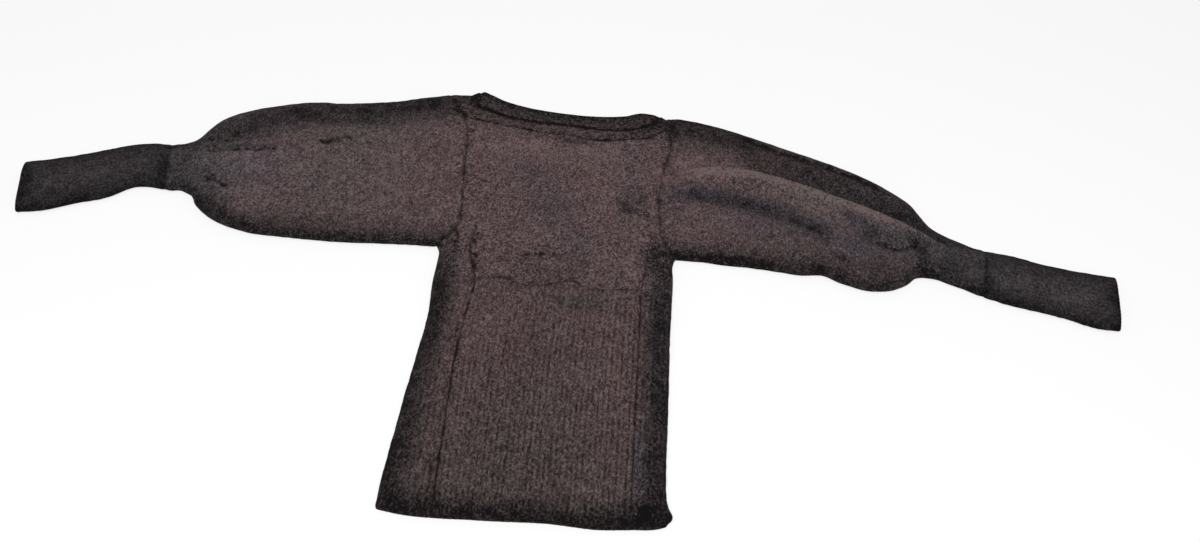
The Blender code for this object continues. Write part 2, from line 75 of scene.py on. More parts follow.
# %% Rows of the body
Row = namedtuple("Row", "y right_fold right_seam left_seam left_fold")
BODY_ROWS = (
    Row(0.000, -0.176, -0.108, 0.125, 0.169),
    Row(0.008, -0.176, -0.108, 0.125, 0.176),
    Row(0.020, -0.176, -0.108, 0.125, 0.171),
    Row(0.060, -0.174, -0.109, 0.125, 0.167),
    Row(0.120, -0.170, -0.110, 0.125, 0.167),
    Row(0.200, -0.164, -0.111, 0.125, 0.167),
    Row(0.280, -0.159, -0.107, 0.125, 0.167),
    Row(0.337, -0.161, -0.103, 0.125, 0.168),
    Row(0.366, -0.160, -0.111, 0.128, 0.168),
    Row(0.388, -0.161, -0.116, 0.131, 0.167),
)
RIB_SEAM = 7  # the row at which the ribbed panels end
print(f"ribs up to {BODY_ROWS[RIB_SEAM].y:.3f} m, rows up to {BODY_ROWS[-1].y:.3f} m")
HEM = ((-0.176, -0.006), (-0.150, -0.010), (-0.050, -0.011), (0.030, -0.009),
       (0.090, -0.012), (0.130, -0.009), (0.158, -0.006), (0.171, -0.001))

# %% [markdown]
# Each armhole seam runs from the underarm fold to the shoulder fold. Point 4 is where the
# side seam ends, and from point 9 up the seam runs along the neckband.

# %% Armholes
SIDE_SEAM_END = 4
NECK_CORNER = 9
RIGHT_ARMHOLE = (
    (-0.165, 0.396), (-0.161, 0.399), (-0.152, 0.406), (-0.142, 0.418), (-0.138, 0.450),
    (-0.141, 0.490), (-0.144, 0.530), (-0.147, 0.570), (-0.150, 0.610), (-0.160, 0.645),
    (-0.174, 0.667), (-0.184, 0.686), (-0.188, 0.696), (-0.190, 0.700),
)
LEFT_ARMHOLE = (
    (0.170, 0.401), (0.166, 0.405), (0.158, 0.414), (0.150, 0.428), (0.148, 0.452),
    (0.144, 0.480), (0.144, 0.522), (0.149, 0.560), (0.158, 0.605), (0.157, 0.653),
    (0.158, 0.664), (0.1595, 0.673), (0.161, 0.678), (0.162, 0.681),
)
RIGHT_SEAM_TOP = ((-0.117, 0.399), (-0.117, 0.403), (-0.115, 0.412), (-0.112, 0.426))
LEFT_SEAM_TOP = ((0.131, 0.403), (0.132, 0.407), (0.133, 0.416), (0.136, 0.430))
print(f"shoulders {LEFT_ARMHOLE[-1][0] - RIGHT_ARMHOLE[-1][0]:.3f} m apart")

# %% [markdown]
# Sleeves and cuffs are flattened tubes, stated by sections from the armhole out: the fold
# on the hem side and the fold on the neck side.

# %% Sections of the sleeves and cuffs
RIGHT_SLEEVE = (
    (-0.199, 0.396, -0.230, 0.689), (-0.250, 0.394, -0.270, 0.677),
    (-0.300, 0.392, -0.310, 0.669), (-0.350, 0.393, -0.350, 0.664),
    (-0.395, 0.395, -0.396, 0.662), (-0.431, 0.397, -0.447, 0.650),
    (-0.471, 0.408, -0.487, 0.635), (-0.501, 0.424, -0.513, 0.620),
    (-0.521, 0.443, -0.531, 0.603), (-0.531, 0.457, -0.543, 0.584),
    (-0.546, 0.465, -0.553, 0.567),
)
RIGHT_CUFF = (
    (-0.571, 0.466, -0.585, 0.555), (-0.600, 0.469, -0.610, 0.555),
    (-0.619, 0.466, -0.632, 0.552), (-0.645, 0.447, -0.661, 0.543),
    (-0.695, 0.428, -0.706, 0.525), (-0.735, 0.411, -0.749, 0.511),
    (-0.767, 0.406, -0.789, 0.501),
)
LEFT_SLEEVE = (
    (0.200, 0.401, 0.199, 0.676), (0.250, 0.398, 0.249, 0.662),
    (0.300, 0.395, 0.298, 0.644), (0.345, 0.390, 0.349, 0.624),
    (0.379, 0.391, 0.399, 0.604), (0.404, 0.379, 0.432, 0.589),
    (0.437, 0.370, 0.463, 0.571), (0.473, 0.374, 0.491, 0.552),
    (0.494, 0.386, 0.511, 0.536), (0.509, 0.399, 0.525, 0.514),
    (0.530, 0.400, 0.538, 0.492), (0.566, 0.387, 0.576, 0.469),
)
LEFT_CUFF = (
    (0.596, 0.374, 0.612, 0.456), (0.627, 0.364, 0.643, 0.452),
    (0.672, 0.354, 0.686, 0.440), (0.715, 0.342, 0.729, 0.431),
    (0.748, 0.332, 0.763, 0.426), (0.777, 0.331, 0.790, 0.423),
)
print(f"cuff to cuff {LEFT_CUFF[-1][2] - RIGHT_CUFF[-1][2]:.3f} m")

# %% [markdown]
# The neck is stated from the wearer's right to the left: the seams that join the band to
# the bodices, and the band's free edge.

# %% The neck
FRONT_NECK_SEAM = ((-0.160, 0.645), (-0.137, 0.640), (-0.100, 0.634), (-0.048, 0.626),
                   (0.000, 0.622), (0.060, 0.615), (0.090, 0.620), (0.129, 0.628),
                   (0.157, 0.653))
BACK_NECK_SEAM = ((-0.160, 0.645), (-0.137, 0.655), (-0.100, 0.655), (-0.050, 0.650),
                  (0.000, 0.647), (0.050, 0.646), (0.100, 0.652), (0.130, 0.659),
                  (0.157, 0.653))
FRONT_FREE_EDGE = ((-0.155, 0.7025), (-0.155, 0.686), (-0.146, 0.672), (-0.128, 0.663),
                   (-0.100, 0.653), (-0.048, 0.645), (0.000, 0.642), (0.060, 0.6365),
                   (0.095, 0.639), (0.120, 0.649), (0.139, 0.662), (0.150, 0.6765))
BACK_FREE_EDGE = ((-0.155, 0.7025), (-0.149, 0.710), (-0.140, 0.7155), (-0.126, 0.709),
                  (-0.100, 0.6955), (-0.069, 0.6865), (0.000, 0.6765), (0.035, 0.6755),
                  (0.085, 0.6815), (0.118, 0.6915), (0.136, 0.6885), (0.150, 0.6765))
SHOULDER_STEPS = (0.0, 0.012, 0.045, 0.085, 0.130)  # shares of the free edge beside a fold
print("neck seams:", len(FRONT_NECK_SEAM), "and", len(BACK_NECK_SEAM), "points")

# %% [markdown]
# Cloth has no corners, so each line of the plan is drawn as a smooth curve through its
# points. A curve is asked for by a number that counts along its points, 2.5 being halfway
# from the third to the fourth, or by evenly spaced lengths. The many small lines and spots
# that come later are written in millimetres of the plan, which are quicker to read.

# %% Small helpers
def via(*places):
    """A path by way of these places of the plan, as x, y, x, y and so on, in millimetres."""
    metres = [place / 1000 for place in places]
    return tuple(zip(metres[::2], metres[1::2]))


def smooth_step(value):
    """0 below 0, 1 above 1, and a smooth rise between."""
    value = np.clip(value, 0.0, 1.0)
    return value * value * (3.0 - 2.0 * value)


def bell(distance, reach):
    """1 at no distance, falling off smoothly past the reach."""
    return np.exp(-(distance / reach) ** 2)


print("a path:", via(0, 337, 10, 340))

# %% Smooth curves
def curve(points, at):
    """The smooth curve through these points, at numbers that count along them."""
    points = np.asarray(points, float)
    at = np.clip(np.asarray(at, float), 0.0, len(points) - 1.0)
    steps = np.diff(points, axis=0)
    lengths = np.linalg.norm(steps.reshape(len(steps), -1), axis=1) + 1e-9
    shape = (-1,) + (1,) * (points.ndim - 1)
    rates = steps / lengths.reshape(shape)
    before, after = lengths[:-1].reshape(shape), lengths[1:].reshape(shape)
    inner = (rates[:-1] * after + rates[1:] * before) / (before + after)
    slopes = np.concatenate([rates[:1], inner, rates[-1:]])
    index = np.minimum(at.astype(int), len(points) - 2)
    t = (at - index).reshape(shape)
    span = lengths[index].reshape(shape)
    return ((2 * t**3 - 3 * t**2 + 1) * points[index] + (t**3 - 2 * t**2 + t) * slopes[index] * span
            + (3 * t**2 - 2 * t**3) * points[index + 1] + (t**3 - t**2) * slopes[index + 1] * span)


def even(points, shares):
    """Numbers along a curve's points at which it has run these shares of its length."""
    at = np.linspace(0.0, len(points) - 1.0, 24 * len(points))
    places = curve(points, at)
    run = np.linalg.norm(np.diff(places, axis=0).reshape(len(places) - 1, -1), axis=1)
    return np.interp(shares, np.append(0.0, np.cumsum(run)) / run.sum(), at)


def drawn(points, step=0.004):
    """A curve as points this far apart."""
    run = np.linalg.norm(np.diff(np.asarray(points, float), axis=0), axis=1).sum()
    return curve(points, even(points, np.linspace(0.0, 1.0, max(int(run / step), 2) + 1)))


print("right armhole:", len(drawn(RIGHT_ARMHOLE)), "points")

# %% [markdown]
# The outline's edges are put together from these tables once, and every piece reads them,
# so that two pieces share exactly the same line where they meet. The side seams and side
# folds go up past the waist to the armholes.

# %% Edges of the plan
UNDERARM = len(BODY_ROWS)


def body_edge(column, end):
    """One column of the body's rows, and what it goes on to above them."""
    return [(getattr(row, column), row.y) for row in BODY_ROWS] + list(end)


RIGHT_SEAM = body_edge("right_seam", RIGHT_SEAM_TOP + RIGHT_ARMHOLE[SIDE_SEAM_END:][:1])
LEFT_SEAM = body_edge("left_seam", LEFT_SEAM_TOP + LEFT_ARMHOLE[SIDE_SEAM_END:][:1])
RIGHT_FOLD = body_edge("right_fold", RIGHT_ARMHOLE[:1])
LEFT_FOLD = body_edge("left_fold", LEFT_ARMHOLE[:1])


def arm_sections(armhole, sleeve, cuff):
    """Sections of a whole arm: the armhole's two ends, then the sleeve's and the cuff's."""
    return ((*armhole[0], *armhole[-1]),) + sleeve + cuff


def crossing(section):
    """The line across an arm at a section, from fold to fold."""
    return section[:2], section[2:]


RIGHT_ARM = arm_sections(RIGHT_ARMHOLE, RIGHT_SLEEVE, RIGHT_CUFF)
LEFT_ARM = arm_sections(LEFT_ARMHOLE, LEFT_SLEEVE, LEFT_CUFF)
print("arms:", len(RIGHT_ARM), "and", len(LEFT_ARM), "sections")

# %% [markdown]
# ## The height of the cloth
# Two layers of thick wool lie on the floor, joined at folds. The upper layer rises round
# each fold and then lies level, higher over the full sleeves. The lower one is flat. One
# height for each place on the plan serves all the pieces, so they meet at their seams.

# %% Folds of the outline
FOLD_Z = 0.0045  # the height of the outermost line of a fold
ROLL = 0.030  # how far in from a fold the upper layer goes on rising
UNDER_ROLL = 0.006  # and how far in the lower one goes on falling
PAST_HEM = 0.02  # the hem hangs below its row

FOLD_LINES = [drawn(RIGHT_FOLD), drawn(LEFT_FOLD)]
for arm, edge_end in ((RIGHT_ARM, FRONT_FREE_EDGE[0]), (LEFT_ARM, FRONT_FREE_EDGE[-1])):
    both = curve(arm, np.linspace(0.0, len(arm) - 1.0, 12 * len(arm)))
    FOLD_LINES += [both[:, :2], both[:, 2:], np.array([both[0, 2:], edge_end])]
for side_fold in FOLD_LINES[:2]:
    side_fold[0, 1] -= PAST_HEM
print(len(FOLD_LINES), "fold lines")

# %% Distances on the plan
def nearest(path, x, y):
    """Distance to a path, the share of its points passed, and whether it is on the left."""
    best = np.full(x.shape, np.inf)
    share = np.zeros(x.shape)
    left = np.ones(x.shape, bool)
    path = np.asarray(path)
    for index, (start, end) in enumerate(zip(path, path[1:])):
        run = end - start
        along = np.clip(((x - start[0]) * run[0] + (y - start[1]) * run[1]) / (run @ run), 0, 1)
        off_x = x - start[0] - along * run[0]
        off_y = y - start[1] - along * run[1]
        distance = np.hypot(off_x, off_y)
        closer = distance < best
        best[closer] = distance[closer]
        share[closer] = (index + along[closer]) / (len(path) - 1)
        left[closer] = (run[0] * off_y - run[1] * off_x >= 0.0)[closer]
    return best, share, left


def within_box(points, x, y, reach):
    """Which places lie in the box round these points, made larger by a reach."""
    low, high = points.min(0) - reach, points.max(0) + reach
    return (x > low[0]) & (x < high[0]) & (y > low[1]) & (y < high[1])


RUN = 12  # steps of a long line that are looked at together


def near_any(lines, x, y, reach):
    """Distance to the nearest of several long lines, no further than a reach."""
    best = np.full(x.shape, reach)
    for line in lines:
        for start in range(0, len(line) - 1, RUN):
            run = line[start:start + RUN + 1]
            close = within_box(run, x, y, reach)
            if close.any():
                best[close] = np.minimum(best[close], nearest(run, x[close], y[close])[0])
    return best


print("from the fold:", near_any(FOLD_LINES, np.array([0.0, 0.15]), np.array([0.2, 0.2]), ROLL))

# %% [markdown]
# Uneven cloth needs uneven numbers, the same in every run: random values on a grid,
# smoothly joined, whose lumps are as large as asked.

# %% Unevenness
LAYERS = 12  # random grids that have nothing to do with each other
LUMPS = 128  # lumps along a grid's side, after which it repeats
RANDOM = np.random.default_rng(41).uniform(-1.0, 1.0, (LAYERS, LUMPS, LUMPS))


def uneven(x, y, size, layer):
    """Smooth random values from -1 to 1 on the plan, with lumps of about this size."""
    across, up = np.floor(x / size), np.floor(y / size)
    share_x, share_y = smooth_step(x / size - across), smooth_step(y / size - up)
    table = RANDOM[layer % LAYERS]
    column, row = across.astype(int), up.astype(int)
    low, high = (table[line % LUMPS, column % LUMPS] * (1.0 - share_x)
                 + table[line % LUMPS, (column + 1) % LUMPS] * share_x for line in (row, row + 1))
    return low * (1.0 - share_y) + high * share_y


print("uneven:", uneven(np.array([0.0, 0.01]), np.array([0.0, 0.0]), 0.019, 1).round(3))

# %% [markdown]
# The large folds are broad smooth ridges and troughs along a path, with their own width on
# the hem side and on the neck side. The left sleeve has the sharpest: a ridge from the
# armhole to the wrist that drops steeply behind.

# %% Large folds
Fold = namedtuple("Fold", "path height hem_side neck_side")
RIDGE = via(149, 550, 246, 566, 298, 556, 345, 542, 393, 522, 440, 502, 491, 478, 548, 448)
FOLDS = (
    Fold(RIDGE, 0.0080, 0.040, 0.010),
    Fold(via(220, 588, 300, 570, 400, 536, 512, 485), -0.0045, 0.012, 0.035),
    Fold(via(160, 522, 248, 508, 310, 490, 376, 462, 388, 420, 412, 394), -0.0034, 0.020, 0.022),
    Fold(via(400, 497, 436, 470, 448, 450, 478, 436, 508, 444, 520, 425), -0.0026, 0.014, 0.014),
    Fold(via(462, 468, 495, 458), 0.0030, 0.018, 0.018),
    Fold(via(290, 425, 340, 438, 376, 426), 0.0022, 0.026, 0.022),
    Fold(via(-150, 600, -250, 592, -350, 580, -440, 550, -535, 530), 0.0040, 0.060, 0.035),
    Fold(via(-420, 560, -460, 553, -528, 546), -0.0035, 0.012, 0.030),
)
LOFT = drawn([(-0.80, 0.0125), (-0.60, 0.0135), (-0.53, 0.0195), (-0.42, 0.0210),
              (-0.20, 0.0180), (0.00, 0.0160), (0.20, 0.0180), (0.36, 0.0200),
              (0.46, 0.0215), (0.54, 0.0180), (0.61, 0.0135), (0.80, 0.0125)])
FADE = 1 / 6  # the share of a path over which it comes or goes at each end


def beside(band, x, y):
    """1 on a path, falling smoothly to 0 on both sides and towards the path's ends."""
    path = drawn(band.path, 0.012)
    close = within_box(path, x, y, max(band.hem_side, band.neck_side))
    amount = np.zeros(x.shape)
    distance, share, left = nearest(path, x[close], y[close])
    goes_left = band.path[-1][0] < band.path[0][0]
    width = np.where(left != goes_left, band.neck_side, band.hem_side)
    sides = np.clip(1.0 - (distance / width) ** 2, 0.0, 1.0) ** 2
    amount[close] = sides * smooth_step(np.minimum(share, 1.0 - share) / FADE)
    return amount


print(len(FOLDS), "large folds")

# %% [markdown]
# Then come the seams, which sink into the thick wool, and the creases. Each is a path with
# a depth and a width, and a share of darkness: in a seam it is dirt, as wool felts darkest where it
# lies in a groove, and in a crease it is painted shade.

# %% Seams
Line = namedtuple("Line", "path depth width dark")
RIB_SEAM_Y = BODY_ROWS[RIB_SEAM].y
WAIST_WAVE = ((-0.103, 0.000), (-0.086, 0.003), (-0.062, 0.003), (-0.042, -0.004),
              (-0.018, -0.006), (0.004, 0.000), (0.020, 0.005), (0.035, 0.005),
              (0.046, -0.004), (0.064, -0.006), (0.095, -0.003), (0.125, -0.002))
WAIST_SEAM = tuple((x, RIB_SEAM_Y + rise) for x, rise in WAIST_WAVE)
SEAMS = (
    Line(RIGHT_SEAM[:-1], 0.0012, 0.0018, 1.0),
    Line(LEFT_SEAM[:-1], 0.0006, 0.0020, 0.60),
    Line(WAIST_SEAM, 0.0007, 0.0022, 0.85),
    Line(((-0.161, RIB_SEAM_Y), (-0.103, RIB_SEAM_Y)), 0.0004, 0.0018, 0.0),
    Line(((0.125, RIB_SEAM_Y), (0.168, RIB_SEAM_Y)), 0.0004, 0.0018, 0.0),
    Line(RIGHT_ARMHOLE, 0.0008, 0.0024, 0.85),
    Line(LEFT_ARMHOLE, 0.0008, 0.0024, 0.80),
    Line(FRONT_NECK_SEAM, 0.0012, 0.0018, 1.2),
    Line(crossing(RIGHT_CUFF[0]), 0.0010, 0.0036, 0.8),
    Line(crossing(LEFT_CUFF[0]), 0.0010, 0.0036, 0.8),
)
HAZE_WIDTH = 3.2  # times a line's own width
FAINTEST = 0.10  # the least of a line's darkness that is left anywhere


def line_depths(lines, x, y, haze=0.0):
    """How deep and how dark a set of lines makes each place. The lines wobble a little, are
    darker in some places than in others, and may have a haze of dirt round them."""
    depth = np.zeros(x.shape)
    dark = np.zeros(x.shape)
    wobbly_x = x + 0.0012 * uneven(x, y, 0.007, 9) + 0.0008 * uneven(x, y, 0.003, 1)
    wobbly_y = y + 0.0012 * uneven(x, y, 0.007, 10) + 0.0008 * uneven(x, y, 0.003, 2)
    for number, line in enumerate(lines):
        reach = (8.0 if haze else 3.0) * line.width
        distance = near_any([drawn(line.path, 0.003)], wobbly_x, wobbly_y, reach)
        close = distance < reach
        if not close.any():
            continue
        place, distance = (x[close], y[close]), distance[close]
        ragged = line.width * (1.0 + 0.6 * uneven(*place, 0.006, number + 3))
        nicks = 0.54 + 0.78 * uneven(*place, 0.011, number) + 1.20 * uneven(*place, 0.0042, 11)
        clouds = 0.5 + 0.9 * uneven(*place, 0.019, number + 5)
        # dirt on a seam and its haze, painted shade in a crease
        dirt_and_shade = (bell(distance, ragged) * np.maximum(nicks, FAINTEST)
                + haze * bell(distance, HAZE_WIDTH * line.width) * clouds)
        depth[close] = np.maximum(depth[close], line.depth * bell(distance, line.width))
        dark[close] = np.maximum(dark[close], line.dark * np.clip(dirt_and_shade, 0.0, 1.0))
    return depth, dark


print(len(SEAMS), "seams")

# %% [markdown]
# A crease is a narrow line like a seam, but only the folding of the cloth made it, and its darkness
# is painted shade. Most lie
# where the cloth was bent again and again: by the wrists, the armholes and the waist.

# %% Creases
def lines(*rows):
    """Lines from their depth and width in millimetres, how dark they are, and their path."""
    return [Line(via(*row[3:]), row[0] / 1000, row[1] / 1000, row[2]) for row in rows]


CREASES = lines(
    # body: the waist, the side folds, the chest and the shoulders
    (0.7, 2.2, 0.9, -102, 387, -85, 387),
    (0.9, 2.8, 1.4, -36, 384, -15, 386, 10, 388),
    (0.5, 2.6, 0.35, 10, 388, 45, 391),
    (1, 4, 0.5, 8, 312, 24, 304, 45, 300, 62, 304, 80, 311),
    (0.8, 2.6, 0.9, -94, 347, -83, 344),
    (0.8, 2.6, 0.9, -58, 343, -50, 339),
    (0.4, 1.8, 0.6, -118, 8, -119, 100, -119, 200, -113, 270),
    (0.6, 1.6, 0.5, 117, -4, 117, 50, 120, 110),
    (0.4, 1.8, 0.45, 134, 150, 134, 230, 136, 300),
    (0.4, 1.8, 0.45, 145, 180, 146, 240, 148, 330),
    (0.6, 4, 0.45, -146, 368, -148, 350, -150, 325),
    (0.8, 3.4, 1.3, -106, 418, -111, 402, -113, 388, -108, 372, -104, 352, -102, 332),
    (0.8, 4.4, 0.85, -137, 416, -137, 400, -138, 380),
    (0.4, 4.4, 0.55, 161, 634, 161, 604, 156, 576),
    (0.6, 1.6, 1, 46, 616, 56, 614, 68, 613),
    (0.4, 5, 0.4, 146, 540, 145, 510, 146, 480),
    (0.5, 4.2, 0.85, 84, 500, 92, 484, 108, 475, 130, 472),
    (0.4, 3, 0.65, 119, 524, 118, 502, 112, 480),
    (1, 3.8, 3, -161, 645, -170, 658, -178, 672, -186, 688),
    (0.4, 4, 0.6, -168, 690, -154, 674, -151, 655),
    (0.4, 5, 0.4, -148, 640, -150, 620, -148, 590),
    (1.2, 6, 0.6, 160, 372, 148, 385, 138, 405, 134, 426),
    # right sleeve: the long crease above the wrist, the torn fold, and the gathers' ends
    (2.4, 3, 1.9, -521, 536, -490, 537.2, -455, 540.5, -426, 544),
    (2, 3, 2, -510, 483, -504, 479, -496, 479, -483, 469),
    (1, 2.6, 1.2, -503, 486, -507, 480, -512, 476),
    (1, 3, 1.6, -529, 560, -521, 556, -517, 547),
    (0.8, 3.4, 1.3, -516, 580, -504, 577, -500, 566, -490, 572),
    (0.8, 3.2, 1.2, -516, 561, -503, 560, -492, 560),
    (0.8, 2.4, 0.7, -624, 479, -606, 484),
    (0.6, 2.2, 0.45, -643, 520, -636, 505, -628, 487),
    (0.8, 2.6, 0.7, -562, 470, -540, 468, -522, 462),
    (0.6, 2.8, 0.8, -430, 398, -360, 395, -280, 396, -190, 398),
    (1, 4, 0.45, -330, 648, -280, 656, -240, 665, -205, 672),
    (0.4, 5, 0.22, -372, 615, -364, 590, -360, 560),
    (0.8, 3.6, 2.2, -352, 566, -344, 572, -338, 569),
    (0.6, 2.6, 1.8, -364, 567, -357, 563, -351, 566),
    (0.6, 2, 1.6, -335, 576, -325, 577, -319, 574),
    # left sleeve: a rolled edge inside the top fold, and the creases round the wrist
    (2, 4, 1.2, 172, 668, 215, 662, 250, 649, 266, 639),
    (2.6, 4.6, 4, 260, 643, 272, 634, 300, 622, 331, 609, 362, 596, 400, 581, 435, 566, 470, 545),
    (1.4, 3.2, 1.6, 452, 449, 460, 443, 476, 437, 497, 438, 508, 448),
    (0.8, 3, 0.45, 286, 428, 298, 440, 312, 447),
    (1, 3.4, 1.1, 404, 416, 409, 403, 418, 393),
    (1.2, 5, 1.2, 170, 404, 223, 403, 262, 403, 296, 397),
    (0.8, 5, 0.75, 376, 460, 384, 442, 390, 424, 398, 412),
    (1, 2.8, 0.75, 507, 409, 529, 407, 548, 396, 565, 387),
    (0.8, 2.4, 0.6, 512, 419, 530, 416, 545, 409),
    (1, 2.4, 0.65, 735, 375, 750, 368, 765, 366),
)
print(len(CREASES), "creases")

# %% [markdown]
# Last come broad bands and patches that are darker, or a cooler brown, than the rest. The bands
# are painted shade, darker and cooler, on the shaded side of each large fold, in its hollows and
# along the outline. The patches are partly painted shade and partly the wool's own uneven tone
# and places rubbed by wear. A number below nothing makes a place lighter, and on the crests of
# the folds that is a painted highlight. A patch is an oval spot with soft edges.

# %% Dark and cool bands
Band = namedtuple("Band", "path hem_side neck_side dark cool")
BANDS = (
    # left sleeve: painted shade behind the sharp ridge and along its top, painted highlights on its
    # crest and its rolled top edge, and painted shade in the hollows below
    Band(via(246, 581, 298, 569, 345, 555, 393, 534, 440, 512, 491, 488, 545, 459, 575, 444),
             0.005, 0.085, 0.69, 0.0),
    Band(via(130, 635, 200, 628, 250, 614, 305, 598), 0.042, 0.040, 0.36, 0.0),
    Band(RIDGE, 0.018, 0.010, -0.80, -0.5),
    Band(via(150, 582, 200, 574, 260, 556), 0.034, 0.022, -0.20, -0.1),
    Band(via(165, 520, 205, 516, 250, 509, 300, 495, 345, 479, 378, 459, 390, 434),
             0.025, 0.029, 0.60, 1.1),
    Band(via(404, 500, 430, 484, 446, 464, 454, 448), 0.018, 0.016, 0.34, 1.0),
    Band(via(486, 474, 508, 460, 519, 443, 519, 428, 504, 412), 0.018, 0.018, 0.50, 0.7),
    Band(via(150, 685, 215, 674, 272, 648, 331, 622, 400, 594, 470, 560, 520, 520),
             0.009, 0.010, -0.30, -0.2),
    # right sleeve: painted shade along its top
    Band(via(-172, 672, -210, 664, -270, 648, -340, 634, -400, 626, -460, 602, -520, 572),
             0.054, 0.060, 0.59, 0.3),
    # painted shade: the black rim under the left sleeve, by the underarm
    Band(via(135, 402, 223, 401, 330, 395), 0.010, 0.009, 0.70, 0.0),
    # painted shade along the side folds of the body
    Band(via(149, -30, 149, 80, 150, 200, 148, 320, 152, 390), 0.026, 0.026, 0.54, 0.4),
    Band(via(-168, -30, -160, 80, -152, 200, -147, 320, -147, 400), 0.038, 0.038, 0.45, 0.0),
    # painted shade along the hem and the shoulders
    Band(via(-230, -8, -50, -12, 90, -14, 230, -6), 0.010, 0.036, 0.60, 0.0),
    Band(via(80, 668, 125, 668, 165, 656, 230, 642, 300, 615), 0.034, 0.034, 0.52, 0.0),
)
print(len(BANDS), "bands")

# %% Spots
Spot = namedtuple("Spot", "x y reach_x reach_y first second turn", defaults=(0.0, 0.0))


def spots(*rows):
    """Spots from their place and reach in millimetres, one or two amounts and a turn."""
    return [Spot(*(length / 1000 for length in row[:4]), *row[4:]) for row in rows]


def spotted(table, x, y):
    """What a table of spots adds up to at each place, for its first and second amounts."""
    sums = np.zeros((2, *x.shape))
    for spot in table:
        cos, sin = math.cos(math.radians(spot.turn)), math.sin(math.radians(spot.turn))
        off_x, off_y = x - spot.x, y - spot.y
        near = (bell(off_x * cos + off_y * sin, spot.reach_x)
                * bell(off_y * cos - off_x * sin, spot.reach_y))
        sums[0] += spot.first * near
        sums[1] += spot.second * near
    return sums
